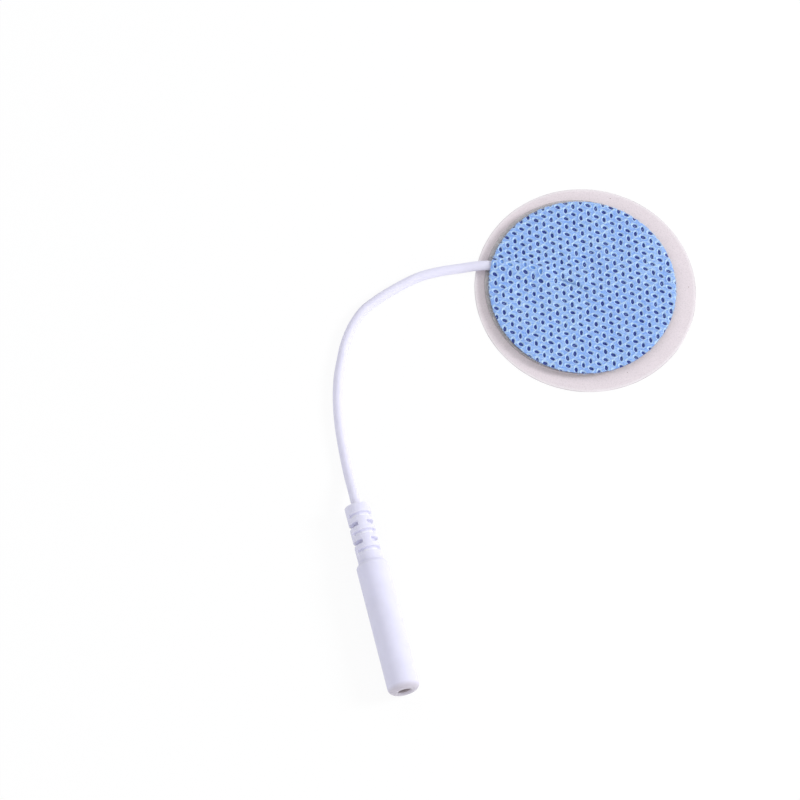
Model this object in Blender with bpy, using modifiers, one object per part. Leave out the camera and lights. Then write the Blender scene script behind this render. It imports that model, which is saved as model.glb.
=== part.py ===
"""A round electrode pad for nerve stimulation, with its lead wire and its pin-socket connector.

The pad lies on its release liner with the fabric up. The wire and the connector lie on the surface
beside it. Metres, +Z up. The origin is on that surface, under the centre of the liner. The wire
leaves the pad on the -X side, and the connector points to -Y.
"""

import math

import bmesh
import bpy
import numpy as np
from mathutils import Matrix, Vector

# The laminate, from the surface up
LINER_DIAMETER = 0.0378
LINER_THICKNESS = 0.00010
PAD_DIAMETER = 0.0320
GEL_THICKNESS = 0.00090
FILM_THICKNESS = 0.00010
FABRIC_THICKNESS = 0.00035
BOND_LINE = 0.00002
PAD_SHIFT = (-0.00057, -0.00012)
GEL_SHIFT = (-0.00070, 0.00035)
DISC_SIDES = 96

# The embossing of the fabric: pits in rows, each turned against its neighbours
PIT_ROW_PITCH = 0.001465
PIT_ROW_ANGLE = math.radians(-17.5)
PIT_COLUMN_PITCH = 0.001481
PIT_COLUMN_ANGLE = math.radians(-79.9)
PIT_START = (0.00057, -0.00041)
PIT_LENGTH = 0.00088
PIT_WIDTH = 0.00052
PIT_DEPTH = 0.00022
PIT_UPRIGHT_ANGLE = math.radians(106.7)
PIT_SLANTED_ANGLE = math.radians(-15.3)
PIT_EDGE_MARGIN = 0.00055
PIT_DRAW = 0.00040
PIT_DRAW_REACH = 0.010
PIT_SIDES = 6

# The lead: insulation over a bundle of strands, tucked between the fabric and the film
WIRE_DIAMETER = 0.00165
CONDUCTOR_DIAMETER = 0.00060
WIRE_CLEARANCE = 0.00003
ENTRY_ANGLE = math.radians(174.6)
TUCK_ANGLE = math.radians(1.3)
TUCK_LENGTH = 0.0090
WIRE_SINK = 0.00055
RIDGE_SHARE = 2.65
PRESS_SHARE = 2.1
BARE_LENGTH = 0.0009
STRAND_COUNT = 7
STRAND_DIAMETER = 0.00013
STRAND_LENGTH = 0.0064
STRAND_SPREAD = math.radians(11.0)
STRAND_START = 0.4
STRAND_TOUCH = 1.4
STRAND_ROOT_SPREAD = 0.6
WIRE_POINT_SPACING = 0.0030
DROP_LENGTH = 0.0050
CLIMB_LENGTH = 0.0080
SURFACE_CLEARANCE = 0.000005
CURVE_SAMPLES = 24

# The free stretch of the lead as it lies, seen from above, from the pad to the connector
FREE_ROUTE = (
    (-0.0191, 0.0010),
    (-0.0213, 0.0004),
    (-0.0252, -0.0009),
    (-0.0287, -0.0026),
    (-0.0328, -0.0058),
    (-0.0353, -0.0082),
    (-0.0367, -0.0098),
    (-0.0377, -0.0117),
    (-0.0385, -0.0139),
    (-0.0391, -0.0169),
    (-0.0393, -0.0199),
    (-0.03935, -0.0229),
    (-0.0391, -0.0258),
    (-0.03865, -0.0287),
    (-0.0380, -0.0316),
    (-0.0372, -0.0344),
    (-0.03632, -0.0372),
    (-0.03535, -0.0401),
    (-0.0344, -0.0429),
)

# The connector: one moulding over a turned contact, from its collar at the wire to its open end
COLLAR_PLACE = (-0.03321, -0.04630)
CONNECTOR_ANGLE = math.radians(-68.8)
CONNECTOR_LENGTH = 0.0334
RELIEF_LENGTH = 0.0100
COLLAR_DIAMETER = 0.00420
NECK_DIAMETER = 0.00425
BODY_DIAMETER = 0.00535
COLLAR_CHAMFER = 0.00015
SHOULDER_LENGTH = 0.0009
END_RADIUS = 0.0011
MOUTH_DIAMETER = 0.0021
MOUTH_CHAMFER = 0.00028
MOULD_CLEARANCE = 0.00003
TURNED_STEPS = 32

# The slots that let the strain relief bend, in turn across it and along it
SLOT_WIDTH = 0.00070
SLOT_START = 0.0020
SLOT_PITCH = 0.00157
SLOT_COUNT = 5
SLOT_WEB = 0.00138

# The socket contact inside the body
CONTACT_RECESS = 0.0014
CONTACT_DIAMETER = 0.0028
CONTACT_LENGTH = 0.0130
SOCKET_BORE = 0.0020
SOCKET_DEPTH = 0.0118
SOCKET_CHAMFER = 0.00015
FLANGE_DIAMETER = 0.0034
FLANGE_LENGTH = 0.0006
BARREL_DIAMETER = 0.0019
BARREL_LENGTH = 0.0032
CRIMP_DEPTH = 0.0026
CRIMP_CLEARANCE = 0.00003

# Heights that follow from the layers
GEL_BASE = LINER_THICKNESS + BOND_LINE
FILM_BASE = GEL_BASE + GEL_THICKNESS + BOND_LINE
FILM_TOP = FILM_BASE + FILM_THICKNESS
FABRIC_BASE = FILM_TOP + BOND_LINE
WIRE_RADIUS = WIRE_DIAMETER / 2
TUCK_HEIGHT = FILM_TOP + WIRE_RADIUS - WIRE_SINK
REST_HEIGHT = WIRE_RADIUS + SURFACE_CLEARANCE

# Places along the connector, from the collar's face
CONTACT_FRONT = CONNECTOR_LENGTH - CONTACT_RECESS
CONTACT_BACK = CONTACT_FRONT - CONTACT_LENGTH
BARREL_START = CONTACT_BACK - FLANGE_LENGTH - BARREL_LENGTH
STRIP_PLACE = BARREL_START - BARE_LENGTH


def smooth_step(value):
    """0 below 0, 1 above 1, and an even S-curve between them."""
    value = min(max(value, 0.0), 1.0)
    return value * value * (3.0 - 2.0 * value)


def bell(offset, half_width):
    """1 on the wire's line, falling as a squared cosine to 0 at half_width."""
    if abs(offset) >= half_width:
        return 0.0
    return math.cos(0.5 * math.pi * offset / half_width) ** 2


def tuck_axes():
    """The point where the wire crosses the fabric's edge, and the way it runs from there."""
    centre = Vector(PAD_SHIFT)
    entry = centre + PAD_DIAMETER / 2 * Vector((math.cos(ENTRY_ANGLE), math.sin(ENTRY_ANGLE)))
    along = Vector((math.cos(TUCK_ANGLE), math.sin(TUCK_ANGLE)))
    return entry, along


ENTRY, ALONG = tuck_axes()
ACROSS = Vector((-ALONG.y, ALONG.x))

# How the fabric rises and the film sinks around the tucked wire and the bare strands
RISE_OVER_WIRE = TUCK_HEIGHT + WIRE_RADIUS + WIRE_CLEARANCE - FABRIC_BASE
RISE_OVER_STRANDS = 2 * STRAND_DIAMETER + CONDUCTOR_DIAMETER / 4
RIDGE_HALF_WIDTH = RIDGE_SHARE * WIRE_RADIUS
FILM_PRESS = WIRE_SINK + WIRE_CLEARANCE
PRESS_HALF_WIDTH = PRESS_SHARE * WIRE_RADIUS
WIRE_END_BLEND = 0.0026
FAN_END = TUCK_LENGTH + BARE_LENGTH + STRAND_LENGTH
FAN_END_BLEND = 0.0016
SECTION_SHARES = (-1.0, -0.78, -0.56, -0.36, -0.18, 0.0, 0.18, 0.36, 0.56, 0.78, 1.0)
BLEND_STEPS = 4


def wire_frame(x, y):
    """How far a point lies inwards along the tucked wire, and how far to its side."""
    from_entry = Vector((x, y)) - ENTRY
    return from_entry.dot(ALONG), from_entry.dot(ACROSS)


def fabric_rise(x, y):
    """The height of the ridge over the wire, which sinks to the strands' and ends past them."""
    inwards, aside = wire_frame(x, y)
    past_wire = smooth_step((inwards - TUCK_LENGTH) / WIRE_END_BLEND)
    past_fan = smooth_step((inwards - FAN_END) / FAN_END_BLEND)
    height = RISE_OVER_WIRE + (RISE_OVER_STRANDS - RISE_OVER_WIRE) * past_wire
    return height * (1.0 - past_fan) * bell(aside, RIDGE_HALF_WIDTH)


def film_press(x, y):
    """How far the film and the gel's face are pressed down under the wire."""
    inwards, aside = wire_frame(x, y)
    past_wire = smooth_step((inwards - TUCK_LENGTH) / WIRE_END_BLEND)
    return FILM_PRESS * (1.0 - past_wire) * bell(aside, PRESS_HALF_WIDTH)


def collection(name):
    made = bpy.data.collections.new(name)
    bpy.context.scene.collection.children.link(made)
    return made


def material(name, colour, roughness, metallic=0.0, alpha=1.0):
    made = bpy.data.materials.new(name)
    made.use_nodes = True
    shader = made.node_tree.nodes["Principled BSDF"]
    shader.inputs["Base Color"].default_value = (*colour, 1.0)
    shader.inputs["Roughness"].default_value = roughness
    shader.inputs["Metallic"].default_value = metallic
    shader.inputs["Alpha"].default_value = alpha
    return made


def add_object(name, data, owner, finish=None):
    made = bpy.data.objects.new(name, data)
    owner.objects.link(made)
    if finish:
        data.materials.append(finish)
    return made


def mesh_of(name, bm):
    mesh = bpy.data.meshes.new(name)
    bm.to_mesh(mesh)
    bm.free()
    return mesh


def as_cutter(thing):
    thing.hide_render = True
    thing.display_type = "WIRE"
    return thing


def cut(thing, cutter):
    boolean = thing.modifiers.new("cut " + cutter.name, "BOOLEAN")
    boolean.operation = "DIFFERENCE"
    boolean.solver = "EXACT"
    boolean.object = cutter
    return boolean


def applied(thing):
    """The object with its modifiers made part of its mesh, and its curve caps joined on."""
    graph = bpy.context.evaluated_depsgraph_get()
    mesh = bpy.data.meshes.new_from_object(thing.evaluated_get(graph))
    bm = bmesh.new()
    bm.from_mesh(mesh)
    bmesh.ops.remove_doubles(bm, verts=bm.verts, dist=1e-7)
    bm.to_mesh(mesh)
    bm.free()
    solid = bpy.data.objects.new(thing.name, mesh)
    solid.matrix_world = thing.matrix_world
    owner = thing.users_collection[0]
    name = thing.name
    bpy.data.objects.remove(thing, do_unlink=True)
    owner.objects.link(solid)
    solid.name = name
    return solid


def section_lines(half_width):
    """Where a layer is divided across the wire so that its section can bend."""
    return [share * half_width for share in SECTION_SHARES]


def blend_places(start, length):
    return [start + length * step / BLEND_STEPS for step in range(BLEND_STEPS + 1)]


def flat_layer(radius, centre, thickness, lines, stations):
    """A flat disc with its base at z = 0, divided beside the wire at the given lines and stations."""
    bm = bmesh.new()
    place = Matrix.Translation((centre.x, centre.y, 0.0))
    bmesh.ops.create_circle(bm, cap_ends=True, segments=DISC_SIDES, radius=radius, matrix=place)
    for distance in lines:
        everything = bm.verts[:] + bm.edges[:] + bm.faces[:]
        point = (ENTRY + distance * ACROSS).to_3d()
        bmesh.ops.bisect_plane(bm, geom=everything, dist=1e-7, plane_co=point, plane_no=ACROSS.to_3d())
    for distance in stations:
        everything = bm.verts[:] + bm.edges[:] + bm.faces[:]
        point = (ENTRY + distance * ALONG).to_3d()
        bmesh.ops.bisect_plane(bm, geom=everything, dist=1e-7, plane_co=point, plane_no=ALONG.to_3d())
    raised = bmesh.ops.extrude_face_region(bm, geom=bm.faces[:])
    top = [item for item in raised["geom"] if isinstance(item, bmesh.types.BMVert)]
    bmesh.ops.translate(bm, verts=top, vec=(0.0, 0.0, thickness))
    bmesh.ops.recalc_face_normals(bm, faces=bm.faces)
    return bm


def bend_layer(bm, base, shape):
    """Lifts the layer to its base height, and every point by what shape says of its place."""
    bmesh.ops.triangulate(bm, faces=bm.faces)
    for vert in bm.verts:
        vert.co.z += base + shape(vert.co)
    return bm


def build_liner(owner):
    """The clear release film that the gel is peeled from."""
    bm = bmesh.new()
    bmesh.ops.create_cone(
        bm,
        cap_ends=True,
        segments=DISC_SIDES,
        radius1=LINER_DIAMETER / 2,
        radius2=LINER_DIAMETER / 2,
        depth=LINER_THICKNESS,
        matrix=Matrix.Translation((0.0, 0.0, LINER_THICKNESS / 2)),
    )
    finish = material("liner film", (0.78, 0.74, 0.77), 0.35, alpha=0.35)
    return add_object("release_liner", mesh_of("release_liner", bm), owner, finish)


def build_gel(owner):
    """The hydrogel that holds to the skin: flat below, pressed in under the wire above."""
    centre = Vector(PAD_SHIFT) + Vector(GEL_SHIFT)
    stations = blend_places(TUCK_LENGTH, WIRE_END_BLEND)
    bm = flat_layer(PAD_DIAMETER / 2, centre, GEL_THICKNESS, section_lines(PRESS_HALF_WIDTH), stations)

    def shape(place):
        is_top = place.z > GEL_THICKNESS / 2
        return -film_press(place.x, place.y) if is_top else 0.0

    finish = material("hydrogel", (0.62, 0.60, 0.62), 0.12, alpha=0.5)
    return add_object("hydrogel", mesh_of("hydrogel", bend_layer(bm, GEL_BASE, shape)), owner, finish)


def build_film(owner):
    """The black conductive film, pressed into the gel under the wire."""
    stations = blend_places(TUCK_LENGTH, WIRE_END_BLEND)
    lines = section_lines(PRESS_HALF_WIDTH)
    bm = flat_layer(PAD_DIAMETER / 2, Vector(PAD_SHIFT), FILM_THICKNESS, lines, stations)

    def shape(place):
        return -film_press(place.x, place.y)

    finish = material("carbon film", (0.012, 0.012, 0.013), 0.55)
    return add_object("carbon_film", mesh_of("carbon_film", bend_layer(bm, FILM_BASE, shape)), owner, finish)


def drawn_in(place):
    """A place on the fabric, moved towards the ridge by the cloth that the ridge takes up."""
    inwards, aside = wire_frame(place.x, place.y)
    past_wire = smooth_step((inwards - TUCK_LENGTH) / PIT_DRAW_REACH)
    fade = math.exp(-abs(aside) / PIT_DRAW_REACH)
    draw = PIT_DRAW * (1.0 - past_wire) * fade * math.tanh(aside / RIDGE_HALF_WIDTH)
    return place - draw * ACROSS


def pit_places():
    """The middle and the angle of every pit that lies whole on the fabric."""
    row = PIT_ROW_PITCH * Vector((math.cos(PIT_ROW_ANGLE), math.sin(PIT_ROW_ANGLE)))
    column = PIT_COLUMN_PITCH * Vector((math.cos(PIT_COLUMN_ANGLE), math.sin(PIT_COLUMN_ANGLE)))
    reach = PAD_DIAMETER / 2 - PIT_EDGE_MARGIN
    most = math.ceil(2.0 * reach / min(PIT_ROW_PITCH, PIT_COLUMN_PITCH))
    places = []
    for i in range(-most, most + 1):
        for j in range(-most, most + 1):
            middle = Vector(PIT_START) + i * row + j * column
            angle = PIT_SLANTED_ANGLE if (i + j) % 2 == 0 else PIT_UPRIGHT_ANGLE
            if middle.length < reach:
                places.append((drawn_in(Vector(PAD_SHIFT) + middle), angle))
    return places


def build_pit_cutter(owner):
    """One low cone for each pit, its tip down, stretched into the pit's oval."""
    bm = bmesh.new()
    tip = FABRIC_THICKNESS - PIT_DEPTH
    for middle, angle in pit_places():
        oval = Matrix.Diagonal((PIT_LENGTH, PIT_WIDTH, 2.0 * PIT_DEPTH, 1.0))
        place = Matrix.Translation((middle.x, middle.y, tip + PIT_DEPTH))
        bmesh.ops.create_cone(
            bm,
            cap_ends=True,
            segments=PIT_SIDES,
            radius1=0.0,
            radius2=1.0,
            depth=1.0,
            matrix=place @ Matrix.Rotation(angle, 4, "Z") @ oval,
        )
    bmesh.ops.remove_doubles(bm, verts=bm.verts, dist=1e-7)
    bmesh.ops.recalc_face_normals(bm, faces=bm.faces)
    return as_cutter(add_object("pit_cutter", mesh_of("pit_cutter", bm), owner))


def build_fabric(owner, cutters):
    """The blue non-woven backing: embossed while flat, then raised over the wire."""
    stations = blend_places(TUCK_LENGTH, WIRE_END_BLEND) + blend_places(FAN_END, FAN_END_BLEND)
    lines = section_lines(RIDGE_HALF_WIDTH)
    bm = flat_layer(PAD_DIAMETER / 2, Vector(PAD_SHIFT), FABRIC_THICKNESS, lines, stations)
    finish = material("blue non-woven", (0.33, 0.50, 0.86), 0.85)
    fabric = add_object("fabric_backing", mesh_of("fabric_backing", bm), owner, finish)
    cut(fabric, build_pit_cutter(cutters))
    fabric = applied(fabric)

    def shape(place):
        return fabric_rise(place.x, place.y)

    bm = bmesh.new()
    bm.from_mesh(fabric.data)
    bend_layer(bm, FABRIC_BASE, shape)
    bm.to_mesh(fabric.data)
    bm.free()
    return fabric


def connector_point(distance):
    """A point on the connector's axis, measured from the collar's face."""
    heading = Vector((math.cos(CONNECTOR_ANGLE), math.sin(CONNECTOR_ANGLE), 0.0))
    start = Vector((*COLLAR_PLACE, BODY_DIAMETER / 2))
    return start + distance * heading


def wire_route():
    """The wire's own points: tucked, then free on the surface, then up into the connector.

    A free point lies at the resting height, raised near the pad to the tucked height and near the
    collar to the connector's axis.
    """
    entry = Vector((ENTRY.x, ENTRY.y, TUCK_HEIGHT))
    inner = (entry + (TUCK_LENGTH * ALONG).to_3d(), entry + (0.5 * TUCK_LENGTH * ALONG).to_3d(), entry)
    collar = connector_point(0.0)
    free = []
    for x, y in FREE_ROUTE:
        from_entry = math.hypot(x - entry.x, y - entry.y)
        from_collar = math.hypot(x - collar.x, y - collar.y)
        drop = (TUCK_HEIGHT - REST_HEIGHT) * (1.0 - smooth_step(from_entry / DROP_LENGTH))
        climb = (collar.z - REST_HEIGHT) * (1.0 - smooth_step(from_collar / CLIMB_LENGTH))
        free.append(Vector((x, y, REST_HEIGHT + drop + climb)))
    last = (collar, connector_point(0.5 * STRIP_PLACE), connector_point(STRIP_PLACE))
    return list(inner) + free + list(last)


def smooth_path(points, spacing):
    """Points at even spacing on a Catmull-Rom curve through the given ones, none below the surface."""
    route = np.array([tuple(point) for point in points])
    route = np.vstack([2 * route[0] - route[1], route, 2 * route[-1] - route[-2]])
    share = np.linspace(0.0, 1.0, CURVE_SAMPLES, endpoint=False)[:, None]
    pieces = []
    for p, q, r, s in zip(route, route[1:], route[2:], route[3:]):
        pieces.append(
            0.5
            * (
                2 * q
                + (r - p) * share
                + (2 * p - 5 * q + 4 * r - s) * share**2
                + (3 * q - p - 3 * r + s) * share**3
            )
        )
    fine = np.vstack(pieces + [route[-2:-1]])
    fine[:, 2] = np.maximum(fine[:, 2], REST_HEIGHT)
    run = np.concatenate([[0.0], np.cumsum(np.linalg.norm(np.diff(fine, axis=0), axis=1))])
    count = max(2, round(run[-1] / spacing)) + 1
    even = np.linspace(0.0, run[-1], count)
    return [Vector(point) for point in np.stack([np.interp(even, run, fine[:, k]) for k in range(3)], axis=1)]


def tube(name, points, diameter, owner, finish=None):
    """A round tube along the points, eight-sided, with closed ends."""
    data = bpy.data.curves.new(name, "CURVE")
    data.dimensions = "3D"
    data.bevel_depth = diameter / 2
    data.bevel_resolution = 2
    data.use_fill_caps = True
    spline = data.splines.new("POLY")
    spline.points.add(len(points) - 1)
    for target, point in zip(spline.points, points):
        target.co = (*point, 1.0)
    return add_object(name, data, owner, finish)


def extended(points, length):
    """The points with the first and the last moved outwards by length."""
    first = points[0] + (points[0] - points[1]).normalized() * length
    last = points[-1] + (points[-1] - points[-2]).normalized() * length
    return [first] + list(points[1:-1]) + [last]


def build_insulation(path, owner, cutters):
    """The wire's plastic insulation, open at both ends for the strands."""
    finish = material("wire insulation", (0.80, 0.78, 0.90), 0.38)
    jacket = applied(tube("lead_wire", path, WIRE_DIAMETER, owner, finish))
    bore = CONDUCTOR_DIAMETER + 2 * WIRE_CLEARANCE
    channel = applied(tube("strand_channel", extended(path, BARE_LENGTH), bore, cutters))
    cut(jacket, as_cutter(channel))
    return jacket


def build_conductor(path, owner, cutters):
    """The bundle of strands: crimped in the contact at one end, spread on the film at the other."""
    finish = material("bare copper", (0.80, 0.45, 0.28), 0.35, metallic=1.0)
    bundle = extended(path, BARE_LENGTH)
    bundle[-1] = connector_point(BARREL_START + CRIMP_DEPTH - CRIMP_CLEARANCE)
    conductor = applied(tube("lead_conductor", bundle, CONDUCTOR_DIAMETER, owner, finish))
    root = path[0]
    film_level = FILM_TOP + STRAND_DIAMETER / 2 + WIRE_CLEARANCE
    for number in range(STRAND_COUNT):
        turn = STRAND_SPREAD * (2.0 * number / (STRAND_COUNT - 1) - 1.0)
        away = Matrix.Rotation(turn, 2) @ ALONG
        share = number / (STRAND_COUNT - 1) - 0.5
        start = Vector((root.x, root.y)) + STRAND_START * BARE_LENGTH * ALONG
        start = start + STRAND_ROOT_SPREAD * share * CONDUCTOR_DIAMETER * ACROSS
        middle = start + STRAND_TOUCH * BARE_LENGTH * away
        end = start + (BARE_LENGTH + STRAND_LENGTH) * away
        points = [start.to_3d(), middle.to_3d(), end.to_3d()]
        points[0].z = root.z
        points[1].z = film_level
        points[2].z = film_level
        strand = applied(tube(f"strand_{number}", points, STRAND_DIAMETER, cutters))
        union = conductor.modifiers.new("join " + strand.name, "BOOLEAN")
        union.operation = "UNION"
        union.solver = "EXACT"
        union.object = as_cutter(strand)
    return conductor


def turned(name, profile, owner, finish):
    """A piece turned about its own Z, from (radius, distance) points that run round its section."""
    mesh = bpy.data.meshes.new(name)
    closed = profile[0][0] > 0.0
    count = len(profile)
    edges = [(k, (k + 1) % count) for k in range(count if closed else count - 1)]
    mesh.from_pydata([(radius, 0.0, distance) for radius, distance in profile], edges, [])
    made = add_object(name, mesh, owner, finish)
    screw = made.modifiers.new("turn", "SCREW")
    screw.steps = TURNED_STEPS
    screw.render_steps = TURNED_STEPS
    screw.use_merge_vertices = True
    screw.merge_threshold = 1e-7
    screw.use_smooth_shade = True
    return made


def rounded_corner(radius, distance, size, steps=4):
    """An outer corner at the end of a turned piece, rounded from its face to its side."""
    angles = [0.5 * math.pi * step / steps for step in range(steps + 1)]
    return [
        (radius - size + size * math.sin(angle), distance - size + size * math.cos(angle)) for angle in angles
    ]


def connector_empty(owner):
    """The connector's own axis: Z runs from the collar's face towards the open end."""
    axis = bpy.data.objects.new("connector_axis", None)
    owner.objects.link(axis)
    turn = Matrix.Rotation(CONNECTOR_ANGLE, 4, "Z") @ Matrix.Rotation(0.5 * math.pi, 4, "Y")
    axis.matrix_world = Matrix.Translation(connector_point(0.0)) @ turn
    return axis


def build_slot_cutter(owner):
    """Pairs of blocks on both sides of a web, each pair a quarter turn from the one before."""
    bm = bmesh.new()
    size = BODY_DIAMETER
    for number in range(SLOT_COUNT):
        turn = 0.5 * math.pi * number
        for side in (-1, 1):
            middle = side * (SLOT_WEB / 2 + size / 2)
            place = Matrix.Rotation(turn, 4, "Z") @ Matrix.Translation(
                (middle, 0.0, SLOT_START + number * SLOT_PITCH)
            )
            bmesh.ops.create_cube(bm, size=1.0, matrix=place @ Matrix.Diagonal((size, size, SLOT_WIDTH, 1.0)))
    return as_cutter(add_object("slot_cutter", mesh_of("slot_cutter", bm), owner))


def build_boot(axis, owner, cutters):
    """The white moulding: slotted strain relief, shoulder, body and the mouth of the socket."""
    wire_hole = WIRE_RADIUS + MOULD_CLEARANCE
    barrel_hole = BARREL_DIAMETER / 2 + MOULD_CLEARANCE
    flange_hole = FLANGE_DIAMETER / 2 + MOULD_CLEARANCE
    contact_hole = CONTACT_DIAMETER / 2 + MOULD_CLEARANCE
    mouth = MOUTH_DIAMETER / 2
    body = BODY_DIAMETER / 2
    outside = [
        (mouth, CONNECTOR_LENGTH - MOUTH_CHAMFER),
        (mouth + MOUTH_CHAMFER, CONNECTOR_LENGTH),
        *rounded_corner(body, CONNECTOR_LENGTH, END_RADIUS),
        (body, RELIEF_LENGTH + SHOULDER_LENGTH),
        (NECK_DIAMETER / 2, RELIEF_LENGTH),
        (COLLAR_DIAMETER / 2, COLLAR_CHAMFER),
        (COLLAR_DIAMETER / 2 - COLLAR_CHAMFER, 0.0),
    ]
    inside = [
        (wire_hole, 0.0),
        (wire_hole, BARREL_START - MOULD_CLEARANCE),
        (barrel_hole, BARREL_START - MOULD_CLEARANCE),
        (barrel_hole, CONTACT_BACK - FLANGE_LENGTH - MOULD_CLEARANCE),
        (flange_hole, CONTACT_BACK - FLANGE_LENGTH - MOULD_CLEARANCE),
        (flange_hole, CONTACT_BACK + MOULD_CLEARANCE),
        (contact_hole, CONTACT_BACK + MOULD_CLEARANCE),
        (contact_hole, CONTACT_FRONT + MOULD_CLEARANCE),
        (mouth, CONTACT_FRONT + MOULD_CLEARANCE),
    ]
    finish = material("white moulding", (0.78, 0.77, 0.88), 0.42)
    boot = turned("connector_boot", outside + inside, owner, finish)
    boot.parent = axis
    slots = build_slot_cutter(cutters)
    slots.parent = axis
    cut(boot, slots)
    return boot


def build_contact(axis, owner):
    """The brass socket: a bored tube, a flange that holds it in the moulding and a crimp barrel."""
    socket = SOCKET_BORE / 2
    outer = CONTACT_DIAMETER / 2
    crimp = CONDUCTOR_DIAMETER / 2 + CRIMP_CLEARANCE
    profile = [
        (0.0, CONTACT_FRONT - SOCKET_DEPTH),
        (socket, CONTACT_FRONT - SOCKET_DEPTH),
        (socket, CONTACT_FRONT - SOCKET_CHAMFER),
        (socket + SOCKET_CHAMFER, CONTACT_FRONT),
        (outer, CONTACT_FRONT),
        (outer, CONTACT_BACK),
        (FLANGE_DIAMETER / 2, CONTACT_BACK),
        (FLANGE_DIAMETER / 2, CONTACT_BACK - FLANGE_LENGTH),
        (BARREL_DIAMETER / 2, CONTACT_BACK - FLANGE_LENGTH),
        (BARREL_DIAMETER / 2, BARREL_START),
        (crimp, BARREL_START),
        (crimp, BARREL_START + CRIMP_DEPTH),
        (0.0, BARREL_START + CRIMP_DEPTH),
    ]
    finish = material("brass", (0.78, 0.60, 0.28), 0.3, metallic=1.0)
    contact = turned("socket_contact", profile, owner, finish)
    contact.parent = axis
    return contact


def main():
    for thing in list(bpy.data.objects):
        bpy.data.objects.remove(thing, do_unlink=True)
    pad = collection("electrode pad")
    cutters = collection("cutters")
    build_liner(pad)
    build_gel(pad)
    build_film(pad)
    build_fabric(pad, cutters)
    path = smooth_path(wire_route(), WIRE_POINT_SPACING)
    build_insulation(path, pad, cutters)
    build_conductor(path, pad, cutters)
    axis = connector_empty(pad)
    build_boot(axis, pad, cutters)
    build_contact(axis, pad)


main()
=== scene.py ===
"""Dresses a packed round stimulation electrode: liner, gel, film, embossed cloth, lead and connector.

Metres, in the packed model's frame: +Z up, the origin on the surface under the liner's centre. The lead
leaves the pad on the -X side, and the connector points to -Y.
"""

import math
from functools import cached_property

import bpy
import numpy as np
from mathutils import Matrix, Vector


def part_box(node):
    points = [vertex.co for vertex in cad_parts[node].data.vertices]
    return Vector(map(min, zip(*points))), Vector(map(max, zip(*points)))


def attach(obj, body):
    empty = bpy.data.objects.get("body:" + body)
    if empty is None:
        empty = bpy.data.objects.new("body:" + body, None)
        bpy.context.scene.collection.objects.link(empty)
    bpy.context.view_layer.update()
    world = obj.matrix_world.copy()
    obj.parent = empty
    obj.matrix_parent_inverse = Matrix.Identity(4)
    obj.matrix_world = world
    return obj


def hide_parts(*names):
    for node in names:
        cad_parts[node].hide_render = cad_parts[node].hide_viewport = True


bl_info = {
    "name": "Round Electrode Pad",
    "version": (1, 0, 0),
    "blender": (4, 5, 0),
    "location": "3D View > Sidebar > Electrode",
    "description": "Builds a round self-adhesive electrode with its lead and pin-socket connector",
    "category": "Add Mesh",
}

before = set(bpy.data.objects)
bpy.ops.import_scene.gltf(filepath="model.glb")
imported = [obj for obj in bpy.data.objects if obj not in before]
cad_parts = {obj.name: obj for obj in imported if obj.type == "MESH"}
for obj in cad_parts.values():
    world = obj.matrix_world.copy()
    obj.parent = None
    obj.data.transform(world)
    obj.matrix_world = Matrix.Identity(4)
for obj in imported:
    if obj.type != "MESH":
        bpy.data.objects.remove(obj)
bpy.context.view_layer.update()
MM = 0.001


def span(node, axis):
    """The length of a packed node along one axis."""
    low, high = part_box(node)
    return high[axis] - low[axis]


def middle(node, axis):
    """The middle of a packed node along one axis."""
    low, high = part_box(node)
    return (high[axis] + low[axis]) / 2


# Where the pad, the tucked lead and the connector lie, seen from above
PAD_CENTRE = np.array([middle("carbon_film", 0), middle("carbon_film", 1)])
GEL_CENTRE = np.array([middle("hydrogel", 0), middle("hydrogel", 1)])
ENTRY_ANGLE = math.radians(174.6)
TUCK_ANGLE = math.radians(1.3)
ALONG = np.array([math.cos(TUCK_ANGLE), math.sin(TUCK_ANGLE)])
ACROSS = np.array([-ALONG[1], ALONG[0]])
COLLAR_PLACE = np.array([-0.03321, -0.04630])
CONNECTOR_ANGLE = math.radians(-68.8)
HEADING = np.array([math.cos(CONNECTOR_ANGLE), math.sin(CONNECTOR_ANGLE), 0.0])
SIDEWAYS = np.array([-HEADING[1], HEADING[0], 0.0])
DOWNWARDS = np.array([0.0, 0.0, -1.0])

# The lattice of embossed pits: its first pit, from the pad's centre, and the angles of rows and pits
FIRST_PIT = np.array([0.59, -0.28]) * MM
ROW_ANGLE = math.radians(-17.5)
COLUMN_ANGLE = math.radians(-79.9)
SLANTED_PIT = math.radians(-18.0)
UPRIGHT_PIT = math.radians(102.3)

# Where the white lead shows through the bond points: how far inwards the line lies, and how far aside
LEAD_SHOWS_INWARDS = np.array([0.0, 1.8, 5.7, 8.5]) * MM
LEAD_SHOWS_ASIDE = np.array([0.10, 0.50, 0.55, -0.25]) * MM
LEAD_SHOWS_WIDE = 0.62 * MM

# How far the cloth has slid where it climbs over the lead, most of all at a place beside the entry
CLOTH_SLIDE = np.array([0.13, 0.57]) * MM
SLIDE_ASIDE = -2.45 * MM
SLIDE_REACH = np.array([12.3, 8.3]) * MM
DRAW_REACH = 10.0 * MM

# A crease in the cloth past the strands: how far inwards its points lie, and how far aside
CREASE_INWARDS = np.array([11.93, 13.50, 15.13, 15.98, 16.66]) * MM
CREASE_ASIDE = np.array([-1.03, -1.38, -1.73, -2.18, -2.79]) * MM
CREASE_WIDTH = 0.26 * MM

# How far before the connector's end the insulation stops
INSULATION_STOPS = 19.1 * MM

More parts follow.
